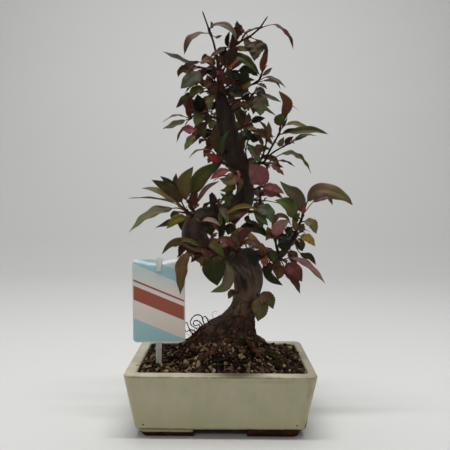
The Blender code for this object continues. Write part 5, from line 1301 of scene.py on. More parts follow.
def add_blade(sheaf, midrib, wide, upper, tone, draw):
    """A thin closed blade: folded along its midrib, waved and toothed at the edges, sunk at the veins."""
    length = path_length(midrib)
    teeth = max(7, round(length / TOOTH_PITCH))
    shares = np.arange(3 * teeth + 1) / (3 * teeth)
    places, ahead = smooth_path(midrib, shares)
    chord = unit(places[-1] - places[0])
    along = unit(ahead * 0.8 + chord * 0.4)
    normal = unit(upper - along * (along @ upper)[:, None])
    twist = BLADE_LEAN * draw.normal() + BLADE_TWIST * draw.normal() * (shares - 0.2) * 0.6
    across = np.cross(along, normal)
    across, normal = (
        across * np.cos(twist)[:, None] + normal * np.sin(twist)[:, None],
        normal * np.cos(twist)[:, None] - across * np.sin(twist)[:, None],
    )
    half = np.maximum(wide * blade_outline(np.clip(shares, 0.004, 0.996)), 0.16)
    tooth = np.tile([0, 0.62, 1], teeth + 1)[: len(shares)] - 0.5
    fold, curl, waves, wave_depth = (least + more * draw.random() for least, more in BLADE_DRAWS)
    phases = draw.random(2) * 2 * np.pi
    vein_count = max(5, round(length / VEIN_PITCH))
    top, bottom, maps, veins = [], [], [], []
    for column in BLADE_COLUMNS:
        reach = abs(column)
        toothed = tooth * 2 * max(0, reach - EDGE_FROM) / 0.3 * np.minimum(1, 4 / np.maximum(half, 1))
        out = column * half * (1 + TOOTH_DEPTH * toothed)
        swing = np.sin(2 * np.pi * waves * shares + phases[int(column > 0)])
        rise = half * (fold * reach**1.2 - curl * reach**3 + wave_depth * reach**2 * swing)
        vein_at = shares * vein_count - reach * VEIN_SLANT
        to_vein = np.abs(vein_at - np.round(vein_at))
        on_side_vein = np.exp(-((to_vein / VEIN_BREADTH) ** 2)) * (reach > 0.15) * (vein_at > 0.2)
        on_midrib = max(0, 1 - reach / MIDRIB_BREADTH)
        on_vein = np.maximum(on_side_vein * (1 - 0.55 * reach), on_midrib)
        relief = -VEIN_SINK * on_vein * np.minimum(1, half / 2.5)
        thick = (0.17 - 0.09 * reach) + 0.34 * on_midrib * (1 - 0.75 * shares)
        top.append(places + across * out[:, None] + normal * (rise + relief + BLADE_RISE)[:, None])
        bottom.append(places + across * out[:, None] + normal * (rise + relief - thick)[:, None])
        maps.append(np.column_stack([np.full(len(shares), column / 2 + 0.5), shares]))
        veins.append(on_vein)
    count = len(shares)
    columns = len(BLADE_COLUMNS)
    vertices = np.concatenate(top + bottom[1:-1])
    lower = {0: 0, columns - 1: columns - 1}
    lower.update({k: columns + k - 1 for k in range(1, columns - 1)})
    faces, finish = [], []
    for k in range(columns - 1):
        a, b = k * count, (k + 1) * count
        c, d = lower[k] * count, lower[k + 1] * count
        for s in range(count - 1):
            faces.append([a + s, b + s, b + s + 1, a + s + 1])
            faces.append([d + s, c + s, c + s + 1, d + s + 1])
            finish += [LEAF_FACE, LEAF_BACK]
    for s, order in ((0, 1), (count - 1, -1)):
        loop = [k * count + s for k in range(columns)]
        loop += [lower[k] * count + s for k in range(columns - 2, 0, -1)]
        faces.append(loop[::-order])
        finish.append(LEAF_BACK)
    maps, veins = np.concatenate(maps + maps[1:-1]), np.concatenate(veins + veins[1:-1])
    sheaf.add(vertices, faces, finish, maps, (*tone, draw.random()), veins)


def add_leaf(sheaf, points, wide, upper, tone, stalk, draw):
    """A leaf stalk and its blade along one smooth path."""
    points = np.asarray(points, float)
    length = path_length(points)
    places, _ = smooth_path(points, np.linspace(0, stalk + 0.04, 6))
    thick = min(0.95, 0.4 + 0.03 * wide)
    sheaf.add_tube(places, np.linspace(thick * 1.15, thick * 0.72, 6), 6, STALK, tone)
    stations = max(8, int(length / 3))
    blade, _ = smooth_path(points, np.linspace(stalk, 1, stations))
    add_blade(sheaf, blade, wide, np.asarray(upper, float), tone, draw)


def add_bud(sheaf, root, way, long, wide, tone):
    """A small pointed bud."""
    way = unit(np.asarray(way, float))
    shares = np.linspace(0, 1, 6)
    points = root + way * (shares * long)[:, None]
    sheaf.add_tube(points, wide / 2 * BUD_OUTLINE, 6, STALK, tone)


def add_twig(sheaf, twig, girth, nodes):
    """A tapering stem, swollen at each leaf and at the scars between them."""
    length = path_length(twig)
    count = max(10, int(length / TWIG_STEP))
    shares = np.linspace(0, 1, count)
    places, _ = smooth_path(twig, shares)
    radii = girth[0] + (girth[1] - girth[0]) * shares
    for at in nodes:
        radii = radii * (1 + NODE_SWELL * np.exp(-(((shares - at) * length / NODE_REACH) ** 2)))
    radii[-1] *= TWIG_END
    sheaf.add_tube(places, radii, 8, TWIG)


def facing(degrees):
    """The way an upper side faces: 0 is up and 90 is to the front."""
    angle = math.radians(degrees)
    return np.array([0, -math.sin(angle), math.cos(angle)])


def scatter_way(way, spread, draw):
    """A direction near another, off it by about the spread."""
    return unit(unit(np.asarray(way, float)) + draw.normal(size=3) * spread)


def small_leaf(root, way, long, droop):
    """The path of a small leaf that arches out from its root."""
    way = unit(np.asarray(way, float))
    arch = ((0, 0), (0.35, 0.06), (0.7, 0.02), (1, -droop))
    return [root + way * long * share + np.array([0, 0, lift * long]) for share, lift in arch]


def add_growth(sheaf, twig, leaves, young, draw):
    """Buds at the stalks, a bud at the tip and so many young leaves round it."""
    (tip,), (onward,) = smooth_path(twig, [1])
    add_bud(sheaf, tip - onward * 0.6, onward, 2.2 + 0.6 * young, 1.4 + 0.25 * young, LEAF_TONES["maroon"])
    for at, points, *_ in leaves:
        (root,), (along,) = smooth_path(twig, [at])
        away = unit(np.asarray(points[min(1, len(points) - 1)], float) - root)
        add_bud(sheaf, root + away * 0.4 + along * 0.6, away + along * 1.2, 2.5, 1.5, LEAF_TONES["brown"])
    for _ in range(young):
        way = scatter_way(onward, 0.45, draw)
        long = 6 + 6 * draw.random()
        tone = LEAF_TONES[YOUNG_TONES[draw.integers(4)]]
        path = small_leaf(tip - onward * 0.4, way, long, 0.1)
        upper = unit(np.array([0, -0.6, 1.0]) + draw.normal(size=3) * 0.25)
        add_leaf(sheaf, path, long * 0.3, upper, tone, 0.2, draw)


def add_spray(sheaf, twig, girth, leaves, young, draw):
    """A twig with its leaves, buds and so many young leaves at its tip."""
    add_twig(sheaf, twig, girth, [leaf[0] for leaf in leaves])
    for at, points, wide, upper, tone, stalk in leaves:
        root = smooth_path(twig, [at])[0][0]
        # Painted light and shade by the height of the leaf's tip.
        height_shading = np.interp(points[-1][2], SHADING_HEIGHTS, SHADING_SHARES)
        shift = height_shading * (1 + 0.18 * draw.normal()) * (1 + 0.09 * draw.normal(size=3))
        colour = tuple(np.clip(np.array(LEAF_TONES[tone]) * shift, 0.004, 1))
        add_leaf(sheaf, [root, *points], wide, upper, colour, stalk, draw)
    add_growth(sheaf, twig, [(at, points) for at, points, *_ in leaves], young, draw)


def laid_out(leaves):
    """Leaves of the layout, with their points in space."""
    rows = []
    for at, points, wide, face, tone, *stalk in leaves:
        rows.append((at, [seen(p) for p in points], wide, facing(face), tone, *(stalk or [STALK_SHARE])))
    return rows


def make_spray(node, twig, girth, leaves, finishes, draw):
    """One leafy shoot as a single piece, which stands for its node."""
    sheaf = Sheaf()
    add_spray(sheaf, twig, girth, leaves, 0 if node in BARE_TIPS else 2, draw)
    piece = sheaf.piece(node.replace("_shoot", "") + "_spray", finishes)
    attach(piece, "root")
    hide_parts(node)
    return piece


def make_laid_out_sprays(finishes):
    for node, (path, girth, leaves) in SHOOTS.items():
        twig = np.array([seen(p) for p in path])
        make_spray(node, twig, girth, laid_out(leaves), finishes, RNG)


def make_inner_sprays(finishes):
    """Short leafy spurs that fill the crown's heart, as one piece."""
    sheaf = Sheaf()
    for path, leaves in INNER_SPURS:
        twig = np.array([seen(p) for p in path])
        rows = [(at, points, wide * INNER_BREADTH, *rest) for at, points, wide, *rest in laid_out(leaves)]
        add_spray(sheaf, twig, INNER_GIRTH, rows, 1, RNG)
    piece = sheaf.piece("inner_sprays", finishes)
    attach(piece, "root")


def back_leaves(start, end, number, first_turn):
    """Leaves set round a far-side twig by the golden angle, each arching out and down."""
    along = Vector(end - start).normalized()
    side = along.orthogonal().normalized()
    leaves = []
    for step in range(BACK_LEAVES):
        at = 0.5 + 0.48 * step / (BACK_LEAVES - 1)
        root = Vector(start).lerp(Vector(end), at)
        turn = math.radians(first_turn) + GOLDEN_ANGLE * step
        outward = Matrix.Rotation(turn, 3, along) @ side
        heading = (outward + along * 0.75).normalized()
        length = BACK_LEAF_LENGTH * (0.86 + 0.28 * ((step * 3 + number) % 5) / 4)
        length *= BACK_TUCKS.get((number + 1, step), 1)
        arch = ((0.3, 2), (0.65, 1), (1, -7))
        points = [np.array(root + heading * length * share + Vector((0, 0, lift))) for share, lift in arch]
        upper = (Vector((0, 0, 1)) + Vector((0, 0.5, 0)) - heading * 0.3).normalized()
        tone = BACK_TONES[(step + 3 * number) % len(BACK_TONES)]
        wide = BACK_LEAF_WIDTH * (0.85 + 0.3 * ((step + 2 * number) % 4) / 3)
        leaves.append((at, points, wide, np.array(upper), tone, STALK_SHARE))
    return leaves


def make_back_sprays(finishes):
    for number, (start, end, first_turn) in enumerate(BACK_SHOOTS):
        start, end = seen(start), seen(end)
        twig = np.array([start, (start + end) / 2 + np.array([0, 0, 2]), end])
        leaves = back_leaves(start, end, number, first_turn)
        make_spray(f"back_shoot_{number + 1:02d}", twig, BACK_GIRTH, leaves, finishes, RNG)


# Trunk


RING_STEP = 1.6
RING_SIDES = 96
BARK_CELL = 1.12
LOBE_SHARE = 0.5
ROUGH_LEVELS = [60, 110, 150, 185, 200, 232, 250, 300, 381]
ROUGH_SHARES = [0.9, 0.95, 0.85, 0.65, 0.15, 0.12, 0.25, 0.35, 0.3]
LIMB_RUN = 900
EARTH_TOP = 112
SKIN_SINK = 0.35
HOLLOW_CENTRE = (23.5, -15, 159)
HOLLOW_DEPTH = 3.6
HOLLOW_LEAN = 0.25
HOLLOW_WIDTH = 4.5
HOLLOW_HEIGHT = 9


def hollow_share(point):
    """1 in the middle of the old wound on the neck's front, falling to 0 round it."""
    x, y, z = (place - middle for place, middle in zip(point, HOLLOW_CENTRE))
    across = (x + z * HOLLOW_LEAN) / HOLLOW_WIDTH
    return math.exp(-(across**2) - (y / HOLLOW_HEIGHT) ** 2 - (z / HOLLOW_HEIGHT) ** 2)


def trunk_stations():
    """Fine stations up the trunk: centre, along, across, depth way, half-sizes and lobe."""
    rings = np.array(TRUNK_RINGS, float)
    centres = np.array([seen(ring[:3]) for ring in rings])
    rows = np.column_stack([centres, rings[:, 3:], rings[:, 1]])
    count = int(path_length(centres) / RING_STEP)
    fine, _ = smooth_path(rows, np.linspace(0, 1, count))
    along = unit(np.gradient(fine[:, :3], axis=0))
    square = np.clip((fine[:, 6] - 150) / 25, 0, 1)[:, None]
    normal = unit(np.array([0, 0, 1]) * (1 - square) + along * square)
    depth_way = np.tile([0.0, 1.0, 0.0], (count, 1))
    across = unit(np.cross(depth_way, normal))
    return fine, along, across, depth_way


def limb_paths():
    """The leader, branches and surface roots as fine points with directions and radii."""
    limbs = []
    for path, (first, last) in LIMBS:
        points = np.array([seen(p) for p in path])
        count = max(12, int(path_length(points) / RING_STEP))
        places, ahead = smooth_path(points, np.linspace(0, 1, count))
        limbs.append((places, ahead, np.linspace(first, last, count)))
    return limbs


def bark_core(fine, across, depth_way, limbs):
    """Trunk and limbs as one closed skin with rounded joins."""
    sheaf = Sheaf()
    angles = np.linspace(0, 2 * np.pi, RING_SIDES, endpoint=False)
    swell = 1 + LOBE_SHARE * fine[:, 5:6] * np.cos(ROOT_LOBES * angles + 0.6)
    swell += 0.02 * np.cos(3 * angles + fine[:, 6:7] / 9)
    wide = (fine[:, 3:4] * swell * np.cos(angles))[:, :, None]
    deep = (fine[:, 4:5] * swell * np.sin(angles))[:, :, None]
    skin = fine[:, None, :3] + across[:, None, :] * wide + depth_way[:, None, :] * deep
    sheaf.add(skin.reshape(-1, 3), ring_faces(len(fine), RING_SIDES), 0)
    for places, _, radii in limbs:
        sheaf.add_tube(places, radii, 20)
    core = placed("bark_core", sheaf.mesh("bark_core"))
    remesh = core.modifiers.new("skin", "REMESH")
    remesh.mode = "VOXEL"
    remesh.voxel_size = BARK_CELL
    remesh.adaptivity = 0
    soften = core.modifiers.new("soften", "SMOOTH")
    soften.factor = 0.5
    soften.iterations = 3
    skin = evaluated(core)
    discard(core)
    return skin


def bark_relief(point, around, along, rough):
    """Height of the bark at a point, and how much of a ridge it is, from 0 to 1 and low in the hollow; the
    bark's finish paints highlight and shade by it.
    """
    gnarl = noise.noise(point / 15)
    muscle = noise_at(around.x / 8, around.y / 8 + along / 45, along / 70)
    ridge = 1 - 2.4 * abs(noise_at(around.x / 5.5, around.y / 5.5, along / 34))
    crack = 1 - 2.6 * abs(noise_at(around.x / 2.1 + 7, around.y / 2.1, along / 11))
    height = rough * (0.62 * ridge + 0.34 * crack) + 0.14 * noise.noise(point / 1.7)
    height += 0.8 * gnarl * min(1, rough + 0.3)
    height += 1.7 * muscle * min(1, rough * 1.6)
    earth = clamped((EARTH_TOP - point.z) / 22)
    height += earth * (1.9 * noise.noise(point / 7.5) + 1.2 * noise.noise(point / 3.2))
    hollow = hollow_share(point)
    height -= HOLLOW_DEPTH * hollow
    return height, clamped(0.5 + 0.3 * ridge + 0.2 * crack + 0.3 * muscle - hollow)


def make_trunk():
    """The trunk and its limbs as one skin, with the bark raised on it and its grain marked."""
    fine, along, across, depth_way = trunk_stations()
    limbs = limb_paths()
    mesh = bark_core(fine, across, depth_way, limbs)
    parts = [
        (
            fine[:, :3],
            along,
            unit(across - along * (across * along).sum(1)[:, None]),
            np.concatenate([[0], np.cumsum(np.linalg.norm(np.diff(fine[:, :3], axis=0), axis=1))]),
            np.interp(fine[:, 6], ROUGH_LEVELS, ROUGH_SHARES),
            fine[:, 3:5].mean(1),
        )
    ]
    for number, (places, ahead, radii) in enumerate(limbs, 1):
        arc = np.linspace(0, path_length(places), len(places)) + LIMB_RUN * number
        parts.append((places, ahead, frames_along(ahead)[0], arc, np.clip(radii / 12, 0.12, 0.5), radii))
    centres, ways, sides, arcs, roughs, reach = (np.concatenate(rows) for rows in zip(*parts))
    tree = KDTree(len(centres))
    for number, centre in enumerate(centres):
        tree.insert(centre, number)
    tree.balance()
    count = len(mesh.vertices)
    normals = np.zeros(count * 3, np.float32)
    mesh.vertex_normals.foreach_get("vector", normals)
    normals = normals.reshape(-1, 3)
    grain = np.zeros((count, 3))
    ridges = np.zeros(count)
    for vertex in mesh.vertices:
        point = vertex.co
        nearest = min(tree.find_n(point, 6), key=lambda hit: hit[2] / reach[hit[1]])[1]
        way, side = ways[nearest], sides[nearest]
        offset = np.array(point) - centres[nearest]
        ahead = float(offset @ way)
        offset = offset - way * ahead
        around = Vector((float(offset @ side), float(offset @ np.cross(way, side)), 0))
        if around.length > 1e-6:
            around = around.normalized() * float(reach[nearest])
        run = float(arcs[nearest]) + ahead
        height, ridge = bark_relief(point.copy(), around, run, float(roughs[nearest]))
        grain[vertex.index] = (around.x, around.y, run)
        ridges[vertex.index] = ridge
        vertex.co = point + Vector(normals[vertex.index]) * (height - SKIN_SINK)
    attribute = mesh.attributes.new("grain", "FLOAT_VECTOR", "POINT")
    attribute.data.foreach_set("vector", grain.ravel())
    # The ridge share, by which the bark's finish paints highlight on the ridges and shade in the fissures and
    # the hollow.
    relief = mesh.attributes.new("relief", "FLOAT", "POINT")
    relief.data.foreach_set("value", ridges)
    trunk = show("bark_trunk", mesh, [bark_finish()], sharp=75)
    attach(trunk, "root")
    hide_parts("trunk")
    return trunk


# Pot and screens


# Heights over the body's foot and below the rim's top, with how far the wall is set in and its corners eased
FOOT_PROFILE = [(0, 4, 2), (0.35, 2.4, 1), (1.2, 1.2, 0), (2.4, 0.35, 0), (4, 0, 0)]
LIP_PROFILE = [
    (5, 0.5, 0), (3.6, 0.3, 0), (2.4, 0, 0), (1.5, 0.05, 0),
    (0.85, 0.3, 0), (0.35, 0.85, 0), (0.08, 1.6, 0.4), (0, 2.6, 0.8),
]
LONGEST_EDGE = 9
UNEVENNESS = 0.7


def rounded_ring(half_x, half_y, radius, z):
    """A level rectangle with round corners."""
    corners = []
    for quarter, (sx, sy) in enumerate(((1, 1), (-1, 1), (-1, -1), (1, -1))):
        for step in range(CORNER_STEPS + 1):
            angle = math.pi / 2 * (quarter + step / CORNER_STEPS)
            x = sx * (half_x - radius) + radius * math.cos(angle)
            y = sy * (half_y - radius) + radius * math.sin(angle)
            corners.append((x, y, z))
    return corners


def ring_stack(name, levels):
    """A closed skin through rounded rectangles, each set in from the pot's rim by its inset."""
    corners = []
    for z, inset, radius in levels:
        corners += rounded_ring(POT_WIDTH / 2 - inset, POT_DEPTH / 2 - inset, radius, z)
    return placed(name, plain_mesh(name, corners, ring_faces(len(levels), len(corners) // len(levels))))


def box_object(name, low, high):
    bm = bmesh.new()
    bmesh.ops.create_cube(bm, size=1)
    low, high = Vector(low), Vector(high)
    bmesh.ops.scale(bm, vec=high - low, verts=bm.verts)
    bmesh.ops.translate(bm, vec=(high + low) / 2, verts=bm.verts)
    return placed(name, settled(name, bm))


def drill(name, x, radius, sides):
    """A round rod through the pot's floor."""
    low, high = BODY_BOTTOM - 2, FLOOR_TOP + 2
    bm = bmesh.new()
    bmesh.ops.create_cone(bm, cap_ends=True, segments=sides, radius1=radius, radius2=radius, depth=high - low)
    bmesh.ops.translate(bm, vec=(x, 0, (low + high) / 2), verts=bm.verts)
    return placed(name, settled(name, bm))


def carved(obj, cutters):
    """The object's mesh with each cutter taken out of it."""
    for cutter in cutters:
        cut = obj.modifiers.new("cut", "BOOLEAN")
        cut.object = cutter
        cut.operation = "DIFFERENCE"
        cut.solver = "EXACT"
    mesh = evaluated(obj)
    for scratch in [obj, *cutters]:
        discard(scratch)
    return mesh


def warp_by_hand(mesh):
    """The slight unevenness of a hand-finished wall; the rim and the soles stay true."""
    for vertex in mesh.vertices:
        x, y, z = vertex.co
        hold = clamped((z - 1) / 8) * clamped((POT_HEIGHT + 4 - z) / 12)
        swell = noise.noise(Vector((x, y, z)) / 38) + 0.35 * noise.noise(Vector((x, y, z)) / 13)
        reach = Vector((x / (POT_WIDTH / 2), y / (POT_DEPTH / 2), 0))
        vertex.co -= reach * UNEVENNESS * hold * clamped(0.5 - 0.5 * swell)


def subdivide(mesh):
    """Splits long edges, so that a wall can take an uneven surface."""
    bm = bmesh.new()
    bm.from_mesh(mesh)
    for _ in range(5):
        edges = [edge for edge in bm.edges if edge.calc_length() > LONGEST_EDGE]
        if not edges:
            break
        bmesh.ops.subdivide_edges(bm, edges=edges, cuts=1, use_grid_fill=False)
        bmesh.ops.triangulate(bm, faces=[face for face in bm.faces if len(face.verts) > 4])
    bm.to_mesh(mesh)
    bm.free()


def pot_body():
    """The body with its lip, its foot edge and its slightly flaring wall."""
    slope = (WALL_TAPER - 0.6) / (POT_HEIGHT - 10 - BODY_BOTTOM)
    levels = []
    for up, inset, ease in FOOT_PROFILE:
        levels.append((BODY_BOTTOM + up, WALL_TAPER + inset, CORNER_RADIUS - ease))
    for z in np.linspace(BODY_BOTTOM + 8, POT_HEIGHT - 7, 11):
        levels.append((z, WALL_TAPER - slope * (z - BODY_BOTTOM - 4), CORNER_RADIUS))
    levels += [(POT_HEIGHT - down, inset, CORNER_RADIUS - ease) for down, inset, ease in LIP_PROFILE]
    return ring_stack("pot_body", levels)


def pot_room():
    """The room for the soil, which opens out to the rim's inner edge."""
    top, corner = POT_HEIGHT, CORNER_RADIUS - 2
    room = ring_stack(
        "pot_room",
        [
            (FLOOR_TOP, RIM_WIDTH + 8.5, 6),
            (FLOOR_TOP + 3, RIM_WIDTH + 6, 8),
            (top - 8, RIM_WIDTH + 1.5, corner),
            (top - 1.2, RIM_WIDTH + 0.3, corner),
            (top - 0.45, RIM_WIDTH - 0.15, corner),
            (top + 0.4, RIM_WIDTH - 1.3, corner),
            (top + 3, RIM_WIDTH - 1.3, corner),
        ],
    )
    for vertex in room.data.vertices:
        vertex.co.x += ROOM_SHIFT + math.copysign(ROOM_SHIFT, vertex.co.x)
    return room


def make_pot():
    """The glazed pot with its drain holes and wire holes, on bare clay feet."""
    cutters = [pot_room()]
    for side in (-1, 1):
        centre = side * DRAIN_OFFSET
        cutters.append(drill("drain", centre, DRAIN_RADIUS, 48))
        for wire in (-1, 1):
            x = centre + side * wire * 2.6 * DRAIN_RADIUS
            cutters.append(drill("wire_hole", x, WIRE_HOLE_RADIUS, 20))
    mesh = carved(pot_body(), cutters)
    subdivide(mesh)
    warp_by_hand(mesh)
    feet = make_feet_mesh()
    bm = bmesh.new()
    bm.from_mesh(mesh)
    glazed = len(bm.faces)
    bm.from_mesh(feet)
    bm.faces.ensure_lookup_table()
    for number, face in enumerate(bm.faces):
        face.material_index = int(number >= glazed)
    bm.to_mesh(mesh)
    bm.free()
    bpy.data.meshes.remove(feet)
    pot = show("glazed_pot", mesh, [glaze_finish(), clay_finish()], sharp=32)
    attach(pot, "root")
    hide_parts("pot")


def make_feet_mesh():
    """L-shaped corner feet under the body, with eased lower edges."""
    sole = FOOT_INSET + FOOT_TAPER
    high = BODY_BOTTOM + 2
    levels = [(0, sole + 0.7, 5), (0.5, sole + 0.1, 5), (1.4, sole - 0.5, 5), (high - 1, FOOT_INSET, 5)]
    feet = ring_stack("feet", levels)
    room = FOOT_INSET + FOOT_THICKNESS
    between = ring_stack("between_feet", [(-1, room, 3), (high, room, 3)])
    wide, deep = FOOT_GAP_FRONT / 2, FOOT_GAP_SIDE / 2
    front = box_object("front_gap", (-wide, -POT_DEPTH, -1), (wide, POT_DEPTH, high))
    side = box_object("side_gap", (-POT_WIDTH, -deep, -1), (POT_WIDTH, deep, high))
    mesh = carved(feet, [between, front, side])
    for vertex in mesh.vertices:
        vertex.co.y += math.copysign(FOOT_FORWARD, vertex.co.y)
    return mesh


def make_screens(finish):
    """A square of woven plastic mesh over each drain hole."""
    reach = SCREEN_SIDE / 2 - SCREEN_WIRE
    places = np.linspace(-reach, reach, SCREEN_CELLS + 1)
    radii = np.full(len(places), SCREEN_WIRE)
    height = FLOOR_TOP + TOUCH + SCREEN_THICKNESS / 2
    for number, side in ((1, -1), (2, 1)):
        sheaf = Sheaf()
        for warp in (0, 1):
            for row, off in enumerate(places):
                rise = [(-1) ** (row + column + warp) * SCREEN_WEAVE for column in range(len(places))]
                ways = (places, np.full(len(places), off))
                wire = np.column_stack([ways[warp], ways[1 - warp], rise]) + (side * DRAIN_OFFSET, 0, height)
                sheaf.add_tube(wire, radii, 5)
        screen = sheaf.piece(f"drain_net_{number}", [finish])
        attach(screen, "root")
        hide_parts(f"drain_screen_{number}")


# Soil


SOIL_GAP = 0.9
SOIL_CORNER = 5.5
SOIL_TAPER = 9


def soil_height(x, y):
    """The ground's level: flat by the rim, mounded round the trunk, with crumbs all over."""
    across = (x - MOUND_CENTRE[0]) / MOUND_REACH[0]
    deep = (y - MOUND_CENTRE[1]) / MOUND_REACH[1]
    mound = MOUND_HEIGHT * math.exp(-math.hypot(across, deep) ** 3)
    crumbs = noise_at(x * 0.23, y * 0.23, 3) + 0.6 * noise_at(x * 0.5, y * 0.5, 8)
    clods = 0.55 * noise_at(x * 0.9, y * 0.9, 5) + 0.35 * noise_at(x * 2, y * 2, 1)
    return SOIL_LEVEL + mound + CRUMB_HEIGHT * crumbs + clods


def make_soil():
    """The body of the soil: a fine relief on top, closed below inside the pot."""
    half_x = POT_WIDTH / 2 - RIM_WIDTH - SOIL_GAP + ROOM_SHIFT
    half_y = POT_DEPTH / 2 - RIM_WIDTH - SOIL_GAP
    straight_x, straight_y = half_x - SOIL_CORNER, half_y - SOIL_CORNER
    columns, rows = round(2 * half_x / SOIL_STEP), round(2 * half_y / SOIL_STEP)
    bm = bmesh.new()
    bmesh.ops.create_grid(bm, x_segments=columns, y_segments=rows, size=0.5)
    for vertex in bm.verts:
        x, y = vertex.co.x * 2 * half_x, vertex.co.y * 2 * half_y
        over_x, over_y = abs(x) - straight_x, abs(y) - straight_y
        if over_x > 0 and over_y > 0:
            shrink = max(over_x, over_y) / math.hypot(over_x, over_y)
            x = math.copysign(straight_x + over_x * shrink, x)
            y = math.copysign(straight_y + over_y * shrink, y)
        x += ROOM_SHIFT
        vertex.co = (x, y, soil_height(x, y))
    crust = bpy.data.meshes.new("soil_crust")
    bm.to_mesh(crust)
    grown = bmesh.ops.extrude_edge_only(bm, edges=[edge for edge in bm.edges if edge.is_boundary])
    for item in grown["geom"]:
        if isinstance(item, bmesh.types.BMVert):
            item.co.x *= 1 - SOIL_TAPER / half_x
            item.co.y *= 1 - SOIL_TAPER / half_y
            item.co.z = FLOOR_TOP + 3
    bmesh.ops.holes_fill(bm, edges=[edge for edge in bm.edges if edge.is_boundary], sides=0)
    bmesh.ops.recalc_face_normals(bm, faces=bm.faces)
    soil = show("potting_soil", settled("soil", bm), [soil_finish()], sharp=80)
    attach(soil, "root")
    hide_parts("soil")
    return crust


# What lies on the soil


FOOT_TOP = 114
CONE_LEVELS = [76, 86, 95, 104, 112, 120]
CONE_EDGES = [-44, -40, -33, -24, -13, 1]
AIR_STRANDS = 22
MAT_STRANDS = 580
GROUND_STRANDS = 60
SOIL_SIDE = 84
SOIL_FRONT = 60
ROUND_STONE = (1.25, 0.72)
FLAT_GRAIN = (1.2, 0.8)

# Loose roots that curl in the air at the left of the foot, as (x, z, y) points
CURLS = [
    [(-20, 106, -9), (-21.5, 113, -12), (-24, 118.5, -13), (-29.5, 119, -13), (-34, 116, -12),
        (-36.3, 111, -11), (-34.5, 106, -10), (-30, 103.5, -9), (-27, 99, -6)],
    [(-22, 107, -7), (-27, 112, -12), (-31, 112.5, -13), (-33, 109, -12), (-30, 106, -11),
        (-27, 108, -10), (-25, 103, -7)],
    [(-29, 99, -6), (-36, 101.5, -10), (-41.5, 99.5, -12), (-43.5, 102, -12)],
    [(-31, 95, -6), (-37, 101, -9), (-39, 106, -10), (-41.3, 110.5, -10), (-43, 109, -11)],
    [(-15, 110, -6), (-17.6, 116, -9), (-20, 117.5, -10), (-22, 115, -10)],
]


def trunk_reach(x, y):
    """How far a point of the ground is outside the trunk's foot."""
    middles, heights, _, wides, deeps, _ = zip(*TRUNK_RINGS[:8])
    level = soil_height(x, y)
    middle, wide, deep = (np.interp(level, heights, row) for row in (middles, wides, deeps))
    return (math.hypot((x - middle) / wide, y / deep) - 1) * wide


def open_ground(point):
    """1 on open soil, 0 inside the trunk."""
    return clamped((trunk_reach(point.x, point.y) + 5) / 4)


def pebble_ground(point):
    """Pebbles lie in loose patches, and fewer of them high on the mound."""
    crowd = 0.55 + 0.9 * noise_at(point.x / 21, point.y / 21, 4)
    return open_ground(point) * clamped(crowd, 0.18) * clamped((96 - point.z) / 14, 0.25)


def moss_ground(point):
    """Moss at the right front, and thinly round the foot of the trunk."""
    patch = math.hypot((point.x - 71) / 17, (point.y + 24) / 15)
    ragged = 0.5 + 1.1 * noise_at(point.x / 6, point.y / 6, 2)
    film = 0.03 * clamped(noise_at(point.x / 14, point.y / 14, 9) * 2.4)
    return open_ground(point) * max(clamped(1.35 - patch) * clamped(ragged), film)


def foot_ground(point):
    """Crumbs lie thickly at the foot's edge and thin out up the cone."""
    crowd = 0.5 + noise_at(point.x / 9, point.y / 9, point.z / 9)
    return clamped((FOOT_TOP - point.z) / 20) * clamped(crowd, 0.05)


def grouped(name, meshes):
    group = bpy.data.collections.new(name)
    for mesh in meshes:
        group.objects.link(bpy.data.objects.new(name, mesh))
    return group


def lumps(name, count, detail, squash, rough, seed):
    """Rounded stones about one across, each its own shape."""
    stones = []
    for number in range(count):
        bm = bmesh.new()
        bmesh.ops.create_icosphere(bm, subdivisions=detail, radius=0.5)
        for vertex in bm.verts:
            where = vertex.co * 2.2 + Vector((seed, number * 5.1, 0))
            vertex.co *= 1 + rough * noise.noise(where) + 0.5 * rough * noise.noise(where * 2.1)
            vertex.co.x *= squash[0]
            vertex.co.z *= squash[1]
        stones.append(settled(name, bm))
    return grouped(name, stones)


def slivers(name, count, draw):
    """Flat, ragged pieces of bark, one long."""
    chips = []
    for _ in range(count):
        outline = []
        for step in range(7):
            angle = 2 * math.pi * step / 7
            reach = 0.75 + 0.35 * draw.random()
            outline.append((0.5 * reach * math.cos(angle), 0.22 * reach * math.sin(angle)))
        thick = 0.05 + 0.05 * draw.random()
        bend = 0.25 * draw.normal()
        vertices = []
        for z in (-thick, thick):
            for x, y in outline:
                vertices.append((x, y * (1 - 0.2 * (z > 0)), z + bend * (x * x - 0.1)))
        chips.append(plain_mesh(name, vertices, ring_faces(2, 7)))
    return grouped(name, chips)


def tufts(name, count, blades, draw):
    """Little stars of pointed moss leaves, one tall."""
    stars = []
    for _ in range(count):
        vertices, faces = [], []
        for blade in range(blades):
            turn = 2 * math.pi * blade / blades + draw.random()
            lean = 0.25 + 0.6 * draw.random()
            x, y = math.cos(turn), math.sin(turn)
            tip = Vector((x * lean, y * lean, 0.65 + 0.5 * draw.random()))
            across = Vector((-y, x, 0)) * 0.11
            inner = Vector((x, y, 0)) * 0.1 + Vector((0, 0, 0.2))
            if (across * -2).cross(inner - across).dot(tip - across) < 0:
                across = -across
            first = len(vertices)
            vertices += [across, -across, inner, tip]
            faces += [[first + i for i in face] for face in ((0, 2, 1), (0, 3, 2), (2, 3, 1), (1, 3, 0))]
        stars.append(plain_mesh(name, vertices, faces))
    return grouped(name, stars)


